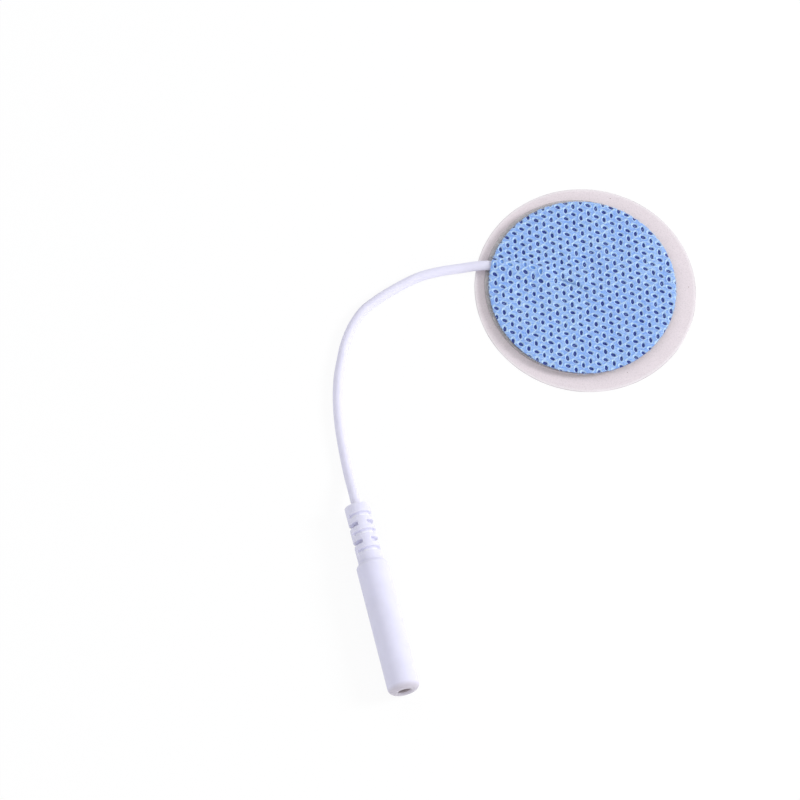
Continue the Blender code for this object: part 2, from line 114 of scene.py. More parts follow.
# The free stretch of the lead, from the pad to the connector: every X, then every Y, as in the part
FREE_ROUTE = MM * np.array(
    [
        [-19.1, -21.3, -25.2, -28.7, -32.8, -35.3, -36.7, -37.7, -38.5, -39.1]
        + [-39.3, -39.35, -39.1, -38.65, -38.0, -37.2, -36.32, -35.35, -34.4],
        [1.0, 0.4, -0.9, -2.6, -5.8, -8.2, -9.8, -11.7, -13.9, -16.9]
        + [-19.9, -22.9, -25.8, -28.7, -31.6, -34.4, -37.2, -40.1, -42.9],
    ]
).T

# The lamps, which face the pad's centre, and the camera, which sees the pad as the photograph does
KEY_PLACE = (0.58, 0.15, 0.42)
KEY_SIZE = 0.22
FILL_PLACE = (-0.02, -0.68, 0.42)
FILL_SIZE = 0.60
CAMERA_PLACE = (-0.02859, -0.35616, 0.77299)
CAMERA_TILT = math.radians(23.192)
CAMERA_ROLL = math.radians(8.052)
CAMERA_LENS = 225.0
SENSOR_WIDTH = 36.0


def metres(label, words, value, low=0.0):
    """A length that the sidebar shows in the scene's own unit."""
    return bpy.props.FloatProperty(
        name=label, description=words, default=value, min=low, max=0.2, precision=5, unit="LENGTH"
    )


def watts(label, words, value):
    """A lamp's power."""
    return bpy.props.FloatProperty(name=label, description=words, default=value, min=0.0, unit="POWER")


def share(label, words, value, high=1.0):
    """A plain number from 0 to high."""
    return bpy.props.FloatProperty(name=label, description=words, default=value, min=0.0, max=high)


def colour(label, words, value):
    """A colour in linear light."""
    return bpy.props.FloatVectorProperty(
        name=label, description=words, default=value, size=3, min=0.0, max=1.0, subtype="COLOR"
    )


class LaminateSizes(bpy.types.PropertyGroup):
    """The round layers, from the surface up."""

    liner_diameter: metres("Liner diameter", "Across the clear release film", span("release_liner", 0))
    liner_thickness: metres("Liner thickness", "Of the clear release film", span("release_liner", 2))
    pad_diameter: metres("Pad diameter", "Across the cloth, the film and the gel", span("carbon_film", 0))
    gel_thickness: metres("Gel thickness", "Of the hydrogel", 0.9 * MM)
    film_thickness: metres("Film thickness", "Of the black conductive film", 0.1 * MM)
    cloth_thickness: metres("Cloth thickness", "Of the blue non-woven", 0.35 * MM)
    bond_line: metres("Bond line", "Between one layer and the next", 0.02 * MM)


class EmbossSizes(bpy.types.PropertyGroup):
    """The rows of oval bond points pressed into the cloth."""

    row_pitch: metres("Row pitch", "From one pit to the next along a row", 1.465 * MM, 0.5 * MM)
    column_pitch: metres("Column pitch", "From one row to the next", 1.481 * MM, 0.5 * MM)
    pit_length: metres("Pit length", "Of the oval floor", 0.82 * MM)
    pit_width: metres("Pit width", "Of the oval floor", 0.49 * MM)
    pit_depth: metres("Pit depth", "From the cloth's face to the fused floor", 0.24 * MM)
    rim_height: metres("Rim height", "Of the raised edge round each pit", 0.075 * MM)
    quilt_depth: metres("Quilt depth", "How far the pits pull the cloth down between them", 0.06 * MM)
    fuzz_height: metres("Fuzz height", "Of the uneven fibres on the face", 0.022 * MM)
    draw: metres("Draw", "How far the ridge over the lead pulls the cloth in", 0.22 * MM)
    crease_depth: metres("Crease depth", "Of the crease past the strands", 0.14 * MM)


class LeadSizes(bpy.types.PropertyGroup):
    """The insulated lead and the ridge that it makes under the cloth."""

    wire_diameter: metres("Lead diameter", "Over the insulation", 1.65 * MM)
    tuck_length: metres("Tucked length", "Of the insulated lead under the cloth", 9.0 * MM)
    wire_sink: metres("Sink", "How deep the lead presses into the film and the gel", 0.55 * MM)
    clearance: metres("Clearance", "Between the lead and the layers round it", 0.03 * MM)
    strand_rise: metres("Strand rise", "Of the cloth over the spread strands", 0.41 * MM)
    fan_end: metres("Fan end", "From the pad's edge to the ends of the strands", 16.3 * MM)


class ConnectorSizes(bpy.types.PropertyGroup):
    """The moulded connector, from its collar to its open end."""

    length: metres("Length", "Of the whole moulding", 33.4 * MM)
    relief_length: metres("Relief length", "Of the slotted strain relief", 10.0 * MM)
    collar_diameter: metres("Collar diameter", "At the lead", 4.2 * MM)
    neck_diameter: metres("Neck diameter", "Of the relief at the shoulder", 4.25 * MM)
    body_diameter: metres("Body diameter", "Over the socket", 5.35 * MM)
    mouth_diameter: metres("Mouth diameter", "Of the opening for the pin", 2.1 * MM)
    slot_width: metres("Slot width", "Of one slot in the relief", 0.86 * MM)
    slot_web: metres("Web", "Left standing between a pair of slots", 1.38 * MM)
    edge_round: metres("Corner rounding", "Of the corners of each slot", 0.20 * MM)


class PadColours(bpy.types.PropertyGroup):
    """The finishes, in linear light."""

    cloth: colour("Cloth", "Blue fibres", (0.356, 0.566, 0.92))
    cloth_shade: colour("Cloth, thin places", "Where the fibres lie thin", (0.16, 0.327, 0.85))
    bond: colour("Bond points", "Fused blue over the black film", (0.014, 0.036, 0.26))
    bond_pale: colour("Bond points over the lead", "Fused blue over the white lead", (0.13, 0.30, 0.74))
    film: colour("Film", "Carbon-filled plastic", (0.010, 0.010, 0.011))
    gel: colour("Gel", "Clear hydrogel", (0.50, 0.48, 0.49))
    liner: colour("Liner", "Siliconised clear film", (0.81, 0.73, 0.77))
    lead: colour("Lead", "White insulation", (0.75, 0.74, 0.88))
    moulding: colour("Moulding", "White plastic", (0.735, 0.73, 0.88))
    brass: colour("Contact", "Turned brass", (0.78, 0.60, 0.28))
    copper: colour("Strands", "Bare copper", (0.80, 0.45, 0.28))


class StudioSettings(bpy.types.PropertyGroup):
    """The plain floor and the soft light."""

    key_power: watts("Key", "Soft lamp to the right", 3.15)
    fill_power: watts("Fill", "Wide lamp in front", 0.8)
    sky: share("Sky", "Even light from all round", 0.72, 2.0)
    floor_white: share("Floor white", "How much of the floor is plain white to the camera", 0.90)


def smooth_step(value):
    """0 below 0, 1 above 1, and t * t * (3 - 2 t) between them."""
    value = np.clip(value, 0.0, 1.0)
    return value * value * (3.0 - 2.0 * value)


def bell(offset, half_width):
    """The squared cosine of a quarter turn times offset / half_width, and 0 past half_width."""
    near = np.clip(np.abs(offset) / half_width, 0.0, 1.0)
    return np.cos(0.5 * math.pi * near) ** 2


def lattice_noise(x, y, pitch, seed):
    """Random values on a square lattice of that pitch, from -1 to 1, eased between its points."""
    reach = 0.03
    count = int(2 * reach / pitch) + 3
    table = np.random.default_rng(seed).uniform(-1.0, 1.0, (count, count))
    u = (x + reach) / pitch
    v = (y + reach) / pitch
    i = np.clip(np.floor(u).astype(int), 0, count - 2)
    j = np.clip(np.floor(v).astype(int), 0, count - 2)
    s = smooth_step(u - i)
    t = smooth_step(v - j)
    low = table[i, j] * (1 - s) + table[i + 1, j] * s
    high = table[i, j + 1] * (1 - s) + table[i + 1, j + 1] * s
    return low * (1 - t) + high * t


def round_angles(count):
    """Evenly spaced angles that fill one turn."""
    return np.linspace(0.0, 2.0 * math.pi, count, endpoint=False)


def from_pad_centre(x, y):
    """How far a place lies from the pad's centre, seen from above."""
    return np.hypot(x - PAD_CENTRE[0], y - PAD_CENTRE[1])


def spokes(path, sides):
    """Unit spokes across a path at each of its points: cos t * side + sin t * up.

    side is the way ahead x Z, and up is side x the way ahead.
    """
    ahead = np.gradient(path, axis=-2)
    ahead = ahead / np.linalg.norm(ahead, axis=-1, keepdims=True)
    side = np.cross(ahead, (0.0, 0.0, 1.0))
    side = side / np.maximum(np.linalg.norm(side, axis=-1, keepdims=True), 1e-9)
    up = np.cross(side, ahead)
    turn = round_angles(sides)[:, None]
    return np.cos(turn) * side[..., None, :] + np.sin(turn) * up[..., None, :]


def mesh_piece(name, points, triangles, smooth_angle=40.0):
    """An object made of the given points and triangles, smooth but for edges sharper than the angle."""
    mesh = bpy.data.meshes.new(name)
    mesh.vertices.add(len(points))
    mesh.vertices.foreach_set("co", np.asarray(points, dtype=np.float32).ravel())
    mesh.loops.add(3 * len(triangles))
    mesh.loops.foreach_set("vertex_index", np.asarray(triangles, dtype=np.int32).ravel())
    mesh.polygons.add(len(triangles))
    mesh.polygons.foreach_set("loop_start", np.arange(0, 3 * len(triangles), 3, dtype=np.int32))
    mesh.update(calc_edges=True)
    mesh.validate()
    mesh.shade_smooth()
    mesh.set_sharp_from_angle(angle=math.radians(smooth_angle))
    piece = bpy.data.objects.new(name, mesh)
    bpy.context.scene.collection.objects.link(piece)
    return piece


def set_values(piece, name, values):
    """A number at each point of the piece, which its material reads by name."""
    layer = piece.data.attributes.new(name, "FLOAT", "POINT")
    layer.data.foreach_set("value", np.asarray(values, dtype=np.float32).ravel())


def finished(piece, material, slot, *nodes):
    """The piece with its material, riding on the part's one body in the place of the named nodes."""
    piece.data.materials.append(material)
    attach(piece, "root")
    if nodes:
        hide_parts(*nodes)
    return piece


def grid_triangles(rows, columns, wrap_rows=False, wrap_columns=False, start=0):
    """Two triangles for each cell of a grid of points numbered row by row, facing rows x columns."""
    down = rows if wrap_rows else rows - 1
    over = columns if wrap_columns else columns - 1
    i, j = np.meshgrid(np.arange(down), np.arange(over), indexing="ij")
    i_next = (i + 1) % rows
    j_next = (j + 1) % columns
    a = (start + i * columns + j).ravel()
    b = (start + i_next * columns + j).ravel()
    c = (start + i_next * columns + j_next).ravel()
    d = (start + i * columns + j_next).ravel()
    return np.vstack([np.column_stack([a, b, c]), np.column_stack([a, c, d])])


def disc_grid(cells):
    """A square grid carried onto the unit disc so that equal squares keep equal areas.

    Where |a| > |b| the radius is a and the angle is pi/4 times b / a; elsewhere the radius is b and the
    angle is pi/2 - pi/4 times a / b.
    """
    steps = np.linspace(-1.0, 1.0, cells + 1)
    a, b = np.meshgrid(steps, steps, indexing="ij")
    wide = np.abs(a) > np.abs(b)
    safe_a = np.where(wide, a, 1.0)
    safe_b = np.where(wide | (b == 0.0), 1.0, b)
    radius = np.where(wide, a, b)
    angle = np.where(wide, 0.25 * math.pi * b / safe_a, 0.5 * math.pi - 0.25 * math.pi * a / safe_b)
    return radius * np.cos(angle), radius * np.sin(angle)


def outline_numbers(cells):
    """The grid's border points in order, anticlockwise from its lower right corner."""
    k = np.arange(cells)
    side = cells + 1
    right = cells * side + k
    top = (cells - k) * side + cells
    left = cells - k
    bottom = k * side
    return np.concatenate([right, top, left, bottom])


def slab(name, centre, radius, cells, face, base, rim, outline=None):
    """A closed round layer: a fine face, a rim and a plainer base.

    The face is disc_grid times the radius, at the heights face(x, y). The rim goes down from it in
    rings, each given by how far it stands out and by its share of the way from the face to base(x, y).
    The base is a coarser disc_grid, inset from the last ring and joined to it by a fan on each cell.
    outline(angle) is added to the radius near the edge.
    """
    inset = 0.4 * MM
    coarse = 4
    unit_x, unit_y = disc_grid(cells)
    from_middle = np.hypot(unit_x, unit_y)
    turn = np.arctan2(unit_y, unit_x)
    grown = radius + (outline(turn) * smooth_step((from_middle - 0.9) / 0.1) if outline else 0.0)
    x = centre[0] + grown * unit_x
    y = centre[1] + grown * unit_y
    top = np.column_stack([x.ravel(), y.ravel(), face(x, y).ravel()])
    border = outline_numbers(cells)
    ring = top[border]
    outwards = np.column_stack([unit_x.ravel()[border], unit_y.ravel()[border]])
    foot = base(ring[:, 0], ring[:, 1])
    rings = []
    for stand_out, way_down in rim:
        height = ring[:, 2] + way_down * (foot - ring[:, 2])
        rings.append(np.column_stack([ring[:, :2] + stand_out * outwards, height]))
    base_cells = cells // coarse
    base_x, base_y = disc_grid(base_cells)
    base_x = centre[0] + (radius - inset) * base_x
    base_y = centre[1] + (radius - inset) * base_y
    bottom = np.column_stack([base_x.ravel(), base_y.ravel(), base(base_x, base_y).ravel()])
    points = np.vstack([top, *rings, bottom])
    count = len(border)
    first = len(top)
    loops = [border] + [first + k * count + np.arange(count) for k in range(len(rim))]
    triangles = [grid_triangles(cells + 1, cells + 1)]
    for upper, lower in zip(loops, loops[1:]):
        upper_next = np.roll(upper, -1)
        lower_next = np.roll(lower, -1)
        triangles.append(np.column_stack([upper, lower, lower_next]))
        triangles.append(np.column_stack([upper, lower_next, upper_next]))
    base_start = first + len(rim) * count
    triangles.append(grid_triangles(base_cells + 1, base_cells + 1, start=base_start)[:, ::-1])
    inner = base_start + outline_numbers(base_cells)
    inner_next = np.roll(inner, -1)
    last = loops[-1].reshape(-1, coarse)
    last_next = np.roll(loops[-1], -1).reshape(-1, coarse)
    for k in range(coarse):
        triangles.append(np.column_stack([inner, last_next[:, k], last[:, k]]))
    triangles.append(np.column_stack([inner, inner_next, last_next[:, -1]]))
    return mesh_piece(name, points, np.vstack(triangles))


def flat(height):
    """A level face or base for slab."""
    return lambda x, y: np.full(x.shape, height)


def padded_values(values, piece):
    """The face's values, then 0 for every point of the rim and the base."""
    whole = np.zeros(len(piece.data.vertices))
    whole[: values.size] = values.ravel()
    return whole


class Levels:
    """The heights of the layers and the place of the tucked lead, worked out from the sizes."""

    def __init__(self, scene):
        sizes = scene.electrode_laminate
        lead = scene.electrode_lead
        self.pad_radius = sizes.pad_diameter / 2
        self.wire_radius = lead.wire_diameter / 2
        self.gel_base = sizes.liner_thickness + sizes.bond_line
        self.gel_top = self.gel_base + sizes.gel_thickness
        self.film_base = self.gel_top + sizes.bond_line
        self.film_top = self.film_base + sizes.film_thickness
        self.cloth_base = self.film_top + sizes.bond_line
        self.cloth_thickness = sizes.cloth_thickness
        self.tuck_height = self.film_top + self.wire_radius - lead.wire_sink
        self.rest_height = self.wire_radius + 0.005 * MM
        self.tuck_length = lead.tuck_length
        self.strand_rise = lead.strand_rise
        self.fan_end = lead.fan_end
        self.ridge_half = 2.65 * self.wire_radius
        self.press_half = 2.1 * self.wire_radius
        self.rise = self.tuck_height + self.wire_radius + lead.clearance - self.cloth_base
        self.press = lead.wire_sink + lead.clearance
        towards_entry = np.array([math.cos(ENTRY_ANGLE), math.sin(ENTRY_ANGLE)])
        self.entry = PAD_CENTRE + self.pad_radius * towards_entry

    def lead_frame(self, x, y):
        """How far a place lies inwards along the tucked lead, and how far to its side."""
        from_entry_x = x - self.entry[0]
        from_entry_y = y - self.entry[1]
        inwards = from_entry_x * ALONG[0] + from_entry_y * ALONG[1]
        aside = from_entry_x * ACROSS[0] + from_entry_y * ACROSS[1]
        return inwards, aside

    def past_wire(self, inwards):
        """0 over the insulated lead and 1 past its end, along an S-curve."""
        return smooth_step((inwards - self.tuck_length) / (2.6 * MM))

    def cloth_rise(self, x, y):
        """The ridge: the lead's rise, easing to the strands' rise, times a bell across the lead."""
        inwards, aside = self.lead_frame(x, y)
        past_fan = smooth_step((inwards - self.fan_end) / (1.6 * MM))
        height = self.rise + (self.strand_rise - self.rise) * self.past_wire(inwards)
        return height * (1.0 - past_fan) * bell(aside, self.ridge_half)

    def crease(self, x, y):
        """1 along the crease, as a Gaussian of the distance aside from it, fading at both of its ends."""
        inwards, aside = self.lead_frame(x, y)
        line = np.interp(inwards, CREASE_INWARDS, CREASE_ASIDE)
        within = smooth_step((inwards - CREASE_INWARDS[0] + 0.6 * MM) / (1.2 * MM))
        within = within * smooth_step((CREASE_INWARDS[-1] + 0.3 * MM - inwards) / (0.6 * MM))
        return within * np.exp(-(((aside - line) / CREASE_WIDTH) ** 2))

    def film_press(self, x, y):
        """How far the film and the gel's face are pressed down under the lead."""
        inwards, aside = self.lead_frame(x, y)
        return self.press * (1.0 - self.past_wire(inwards)) * bell(aside, self.press_half)


class Nodes:
    """Builds the node tree of a material, or of the world, by short calls."""

    def __init__(self, owner, shader="Principled BSDF"):
        owner.use_nodes = True
        self.tree = owner.node_tree
        self.shader = self.tree.nodes[shader]

    @cached_property
    def place(self):
        """The object's own coordinates."""
        return self.add("ShaderNodeTexCoord").outputs["Object"]

    def add(self, kind, **settings):
        """A new node of that kind with those settings."""
        node = self.tree.nodes.new(kind)
        for key, value in settings.items():
            setattr(node, key, value)
        return node

    def link(self, source, target):
        """Joins an output to an input."""
        self.tree.links.new(source, target)

    def feed(self, socket, value):
        """Links an output to the socket, or sets it to a plain value."""
        if isinstance(value, bpy.types.NodeSocket):
            self.link(value, socket)
        else:
            socket.default_value = value

    def set_inputs(self, node, **values):
        """Sets plain values on a node's inputs, by their names with _ for each space."""
        for key, value in values.items():
            node.inputs[key.replace("_", " ")].default_value = value

    def constants(self, **values):
        """Sets plain values on the shader's own inputs."""
        self.set_inputs(self.shader, **values)

    def number(self, name):
        """The piece's own number of that name."""
        return self.add("ShaderNodeAttribute", attribute_name=name).outputs["Fac"]

    def turned(self, angle, scale):
        """The place, turned about Z by the angle in degrees and stretched by the scale."""
        mapping = self.add("ShaderNodeMapping")
        self.set_inputs(mapping, Rotation=(0.0, 0.0, math.radians(angle)), Scale=scale)
        self.link(self.place, mapping.inputs["Vector"])
        return mapping.outputs["Vector"]

    def noise(self, scale, detail=2.0, roughness=0.5, place=None, distortion=0.0):
        """Soft noise at the place, from 0 to 1."""
        node = self.add("ShaderNodeTexNoise")
        self.link(place or self.place, node.inputs["Vector"])
        self.set_inputs(node, Scale=scale, Detail=detail, Roughness=roughness, Distortion=distortion)
        return node.outputs["Fac"]

    def cells(self, scale):
        """Scattered points: the distance to the nearest one, and its own colour."""
        node = self.add("ShaderNodeTexVoronoi")
        self.link(self.place, node.inputs["Vector"])
        self.set_inputs(node, Scale=scale)
        return node.outputs

    def first_part(self, value):
        """The red part of a colour, as a plain number."""
        node = self.add("ShaderNodeSeparateColor")
        self.link(value, node.inputs["Color"])
        return node.outputs["Red"]

    def ease(self, value, low, high, to_low=0.0, to_high=1.0):
        """The value carried from low..high to to_low..to_high along an S-curve."""
        node = self.add("ShaderNodeMapRange", interpolation_type="SMOOTHSTEP")
        self.feed(node.inputs["Value"], value)
        self.set_inputs(node, From_Min=low, From_Max=high, To_Min=to_low, To_Max=to_high)
        return node.outputs["Result"]

    def math(self, operation, first, second=0.0):
        """One operation on two numbers."""
        node = self.add("ShaderNodeMath", operation=operation)
        self.feed(node.inputs[0], first)
        self.feed(node.inputs[1], second)
        return node.outputs[0]

    def times(self, first, second):
        """The product of two numbers."""
        return self.math("MULTIPLY", first, second)

    def plus(self, first, second):
        """The sum of two numbers."""
        return self.math("ADD", first, second)

    def colour_and_roughness(self, colour_value, roughness):
        """Links the shader's colour and roughness."""
        self.link(colour_value, self.shader.inputs["Base Color"])
        self.link(roughness, self.shader.inputs["Roughness"])

    def seen(self):
        """1 where the camera sees a thing directly, or in a glossy or clear surface."""
        path = self.add("ShaderNodeLightPath").outputs
        in_surface = self.math("MAXIMUM", path["Is Glossy Ray"], path["Is Transmission Ray"])
        return self.math("MAXIMUM", path["Is Camera Ray"], in_surface)

    def mix(self, factor, first, second):
        """The second colour over the first by the factor."""
        node = self.add("ShaderNodeMix", data_type="RGBA")
        self.feed(node.inputs["Factor"], factor)
        for socket, value in ((node.inputs[6], first), (node.inputs[7], second)):
            is_plain = not isinstance(value, bpy.types.NodeSocket)
            self.feed(socket, (*value, 1.0) if is_plain else value)
        return node.outputs[2]

    def bump(self, height, distance, strength):
        """Dents the shading by the height, whose full range stands for the distance."""
        node = self.add("ShaderNodeBump")
        self.set_inputs(node, Strength=strength, Distance=distance)
        self.link(height, node.inputs["Height"])
        self.link(node.outputs["Normal"], self.shader.inputs["Normal"])


def shaded(value, amount):
    """A colour made darker by the amount, from 0 to 1."""
    return tuple(part * (1.0 - amount) for part in value)


def cloth_material(colours):
    """Blue fibres in all directions, and fused bond points through which the black film shows. Pale lips
    round the pits, pale lines along their diagonals and pale pit middles are painted highlights, and a
    dark line along the crease is painted shade.
    """
    made = bpy.data.materials.new("blue non-woven")
    n = Nodes(made)
    streaks = None
    for angle, lift in ((8.0, 0.0), (64.0, 3.1), (121.0, 7.7), (-35.0, 5.3)):
        lane = n.noise(1.0, 1.0, 0.4, n.turned(angle, (900.0, 9000.0 + 400.0 * lift, 900.0)), 0.6)
        lane = n.ease(lane, 0.52, 0.72)
        streaks = lane if streaks is None else n.math("MAXIMUM", streaks, lane)
    clumps = n.noise(2600.0, 3.0, 0.6)
    drift = n.noise(260.0, 2.0, 0.5)
    density = n.times(n.ease(clumps, 0.30, 0.68), 0.6)
    density = n.plus(density, n.times(streaks, 0.45))
    cloth = n.mix(density, tuple(colours.cloth_shade), tuple(colours.cloth))
    cloth = n.mix(n.times(streaks, 0.35), cloth, (0.62, 0.80, 1.0))
    cloth = n.mix(n.ease(drift, 0.35, 0.65, 0.0, 0.30), cloth, tuple(colours.cloth_shade))
    over = n.number("over_lead")
    tone = n.number("bond_tone")
    # Pale lines along the diagonals between the pits: a painted highlight on the ridges there, which the
    # bump also raises
    between = n.math("ABSOLUTE", n.math("SUBTRACT", n.math("FRACT", n.number("diagonal")), 0.5))
    patchy = n.ease(n.noise(700.0, 2.0, 0.5), 0.42, 0.60)
    crease = n.times(n.ease(between, 0.03, 0.09, 1.0, 0.0), patchy)
    cloth = n.mix(n.times(crease, 0.75), cloth, (0.62, 0.82, 1.0))
    # A dark line along the crease past the strands: painted shade
    cloth = n.mix(n.times(n.number("crease_shade"), 0.9), cloth, (0.13, 0.24, 0.50))
    from_pit = n.number("from_pit")
    wobble = n.times(n.math("SUBTRACT", n.noise(6500.0, 2.0, 0.5), 0.5), 0.22)
    edge = n.plus(from_pit, wobble)
    floor = n.ease(edge, 0.94, 1.08, 1.0, 0.0)
    # A pale lip round each pit: a painted highlight on its raised rim
    lip = n.times(n.ease(edge, 1.02, 1.25), n.ease(edge, 1.45, 1.9, 1.0, 0.0))
    cloth = n.mix(n.times(lip, 0.75), cloth, (0.64, 0.85, 1.0))
    # Paler middles in some pits: a painted highlight on the glossy fused floor
    pale = n.times(n.ease(edge, 0.30, 0.72, 1.0, 0.0), n.ease(tone, 0.1, 1.0, 0.15, 1.0))
    glint = n.ease(n.noise(5200.0, 2.0, 0.6), 0.40, 0.62, 0.3, 1.0)
    deep = n.mix(n.times(pale, glint), tuple(colours.bond), (0.27, 0.35, 0.62))
    fused = n.mix(over, deep, tuple(colours.bond_pale))
    n.colour_and_roughness(n.mix(floor, cloth, fused), n.ease(floor, 0.0, 1.0, 0.9, 0.35))
    n.constants(Sheen_Weight=0.15, Sheen_Roughness=0.5, Specular_IOR_Level=0.3)
    fine = n.plus(n.times(streaks, 0.6), n.times(clumps, 0.8))
    fine = n.plus(fine, n.times(n.ease(edge, 0.95, 1.35), 1.4))
    fine = n.plus(fine, n.times(crease, 0.9))
    n.bump(fine, 0.05 * MM, 0.9)
    return made


def fibre_material(colours):
    """The single fibres on the cloth: pale, clear blue, some paler than others."""
    made = bpy.data.materials.new("blue fibres")
    n = Nodes(made)
    drift = n.noise(1500.0, 2.0, 0.5)
    blue = n.mix(n.ease(drift, 0.35, 0.65), tuple(colours.cloth), (0.66, 0.82, 1.0))
    n.colour_and_roughness(blue, n.ease(drift, 0.3, 0.7, 0.45, 0.6))
    return made


def film_material(colours):
    """Carbon-filled film: black satin with a faint grain."""
    made = bpy.data.materials.new("carbon film")
    n = Nodes(made)
    grain = n.noise(6000.0, 3.0, 0.6)
    black = n.mix(n.ease(grain, 0.3, 0.7), tuple(colours.film), (0.022, 0.021, 0.022))
    n.colour_and_roughness(black, n.ease(grain, 0.3, 0.7, 0.42, 0.6))
    n.bump(grain, 0.004 * MM, 0.5)
    return made


def gel_material(colours):
    """Clear wet gel with a few cloudy places, and a paler, solid band at its foot on the liner that is a
    painted highlight.
    """
    made = bpy.data.materials.new("hydrogel")
    n = Nodes(made)
    cloud = n.noise(900.0, 3.0, 0.6)
    height = n.add("ShaderNodeSeparateXYZ")
    n.link(n.place, height.inputs[0])
    # A paler, solid band at the gel's foot on the liner: a painted highlight along its lower edge
    foot = n.ease(height.outputs["Z"], 0.18 * MM, 0.34 * MM, 1.0, 0.0)
    milky = n.mix(n.ease(cloud, 0.35, 0.7), tuple(colours.gel), (0.60, 0.58, 0.59))
    n.colour_and_roughness(n.mix(foot, milky, (0.78, 0.75, 0.77)), n.ease(cloud, 0.3, 0.7, 0.08, 0.2))
    n.link(n.math("MAXIMUM", n.ease(cloud, 0.3, 0.7, 0.42, 0.56), foot), n.shader.inputs["Alpha"])
    n.bump(cloud, 0.02 * MM, 0.5)
    return made


def liner_material(colours):
    """Hazy release film: fine mottling, a paler band at the cut edge, a dark line of painted shade along
    it and a few specks.
    """
    made = bpy.data.materials.new("liner film")
    n = Nodes(made)
    edge = n.number("from_edge")
    mottle = n.noise(5200.0, 2.0, 0.6)
    drift = n.noise(180.0, 2.0, 0.5)
    haze = n.mix(n.ease(mottle, 0.3, 0.7), shaded(colours.liner, 0.05), tuple(colours.liner))
    haze = n.mix(n.ease(drift, 0.35, 0.65, 0.0, 0.35), haze, shaded(colours.liner, 0.04))
    haze = n.mix(n.ease(edge, 0.1 * MM, 0.6 * MM, 0.55, 0.0), haze, (0.90, 0.87, 0.89))
    # A dark line at the cut edge, patchy along it: painted shade on the film's edge
    cut = n.ease(edge, 0.03 * MM, 0.09 * MM, 1.0, 0.0)
    haze = n.mix(n.times(cut, n.ease(drift, 0.4, 0.6, 0.2, 0.7)), haze, (0.34, 0.29, 0.32))
    specks = n.cells(330.0)
    near = n.ease(specks["Distance"], 0.015, 0.035, 1.0, 0.0)
    picked = n.math("GREATER_THAN", n.first_part(specks["Color"]), 0.72)
    haze = n.mix(n.times(near, picked), haze, (0.20, 0.10, 0.08))
    n.colour_and_roughness(haze, n.ease(mottle, 0.3, 0.7, 0.26, 0.36))
    n.link(n.ease(mottle, 0.2, 0.8, 0.85, 0.91), n.shader.inputs["Alpha"])
    n.bump(mottle, 0.004 * MM, 0.5)
    return made


def plastic_material(name, value, roughness, grain_scale, painted_tints=()):
    """White plastic with a faint grain and slightly uneven gloss; each tint, a painted highlight or
    painted shade, covers it by an attribute.
    """
    made = bpy.data.materials.new(name)
    n = Nodes(made)
    grain = n.noise(grain_scale, 3.0, 0.6)
    cloud = n.noise(400.0, 2.0, 0.5)
    base = n.mix(n.ease(cloud, 0.3, 0.7), shaded(value, 0.03), tuple(value))
    for attribute, tint in painted_tints:
        base = n.mix(n.number(attribute), base, tint)
    n.colour_and_roughness(base, n.ease(grain, 0.3, 0.7, roughness - 0.05, roughness + 0.07))
    n.constants(Subsurface_Weight=0.4, Subsurface_Scale=1.5 * MM, Subsurface_Radius=(1.0, 1.0, 1.0))
    n.constants(Specular_IOR_Level=0.3)
    n.bump(grain, 0.004 * MM, 0.5)
    return made


def moulding_material(value):
    """The connector's plastic, with a painted highlight on the slots' floors and painted shade on its end
    face and in its bore.
    """
    # Painted highlight on the slots' floors, painted shade on the end face and in the bore
    painted_tints = {"slot_floor_highlight": (0.93, 0.93, 1.0), "end_face_shade": (0.56, 0.53, 0.60), "bore": (0.42, 0.37, 0.40)}
    return plastic_material("white moulding", value, 0.58, 4200.0, painted_tints.items())


def metal_material(name, value, roughness):
    """Bare metal with fine turning marks."""
    made = bpy.data.materials.new(name)
    n = Nodes(made)
    marks = n.noise(1.0, 2.0, 0.6, n.turned(14.0, (2000.0, 16000.0, 2000.0)))
    bright = n.mix(n.ease(marks, 0.3, 0.7), shaded(value, 0.15), tuple(value))
    n.colour_and_roughness(bright, n.ease(marks, 0.3, 0.7, roughness - 0.06, roughness + 0.08))
    n.constants(Metallic=1.0)
    n.bump(marks, 0.003 * MM, 0.4)
    return made


def cloth_shift(emboss, levels, x, y):
    """How far the cloth's own points have moved at a place, along X and along Y.

    CLOTH_SLIDE times a Gaussian about a point beside the entry, less draw * exp(-|aside| / DRAW_REACH) *
    tanh(aside / half) across the lead, which fades out past the lead's end.
    """
    inwards, aside = levels.lead_frame(x, y)
    slide = np.exp(-((inwards / SLIDE_REACH[0]) ** 2) - ((aside - SLIDE_ASIDE) / SLIDE_REACH[1]) ** 2)
    fading = 1.0 - smooth_step((inwards - levels.tuck_length) / DRAW_REACH)
    across = np.exp(-np.abs(aside) / DRAW_REACH) * np.tanh(aside / levels.ridge_half)
    draw = emboss.draw * fading * across
    return CLOTH_SLIDE[0] * slide - draw * ACROSS[0], CLOTH_SLIDE[1] * slide - draw * ACROSS[1]


def pit_lattice(emboss):
    """The first pit's place, and the steps along a row and from one row to the next."""
    row = emboss.row_pitch * np.array([math.cos(ROW_ANGLE), math.sin(ROW_ANGLE)])
    column = emboss.column_pitch * np.array([math.cos(COLUMN_ANGLE), math.sin(COLUMN_ANGLE)])
    return PAD_CENTRE + FIRST_PIT, row, column


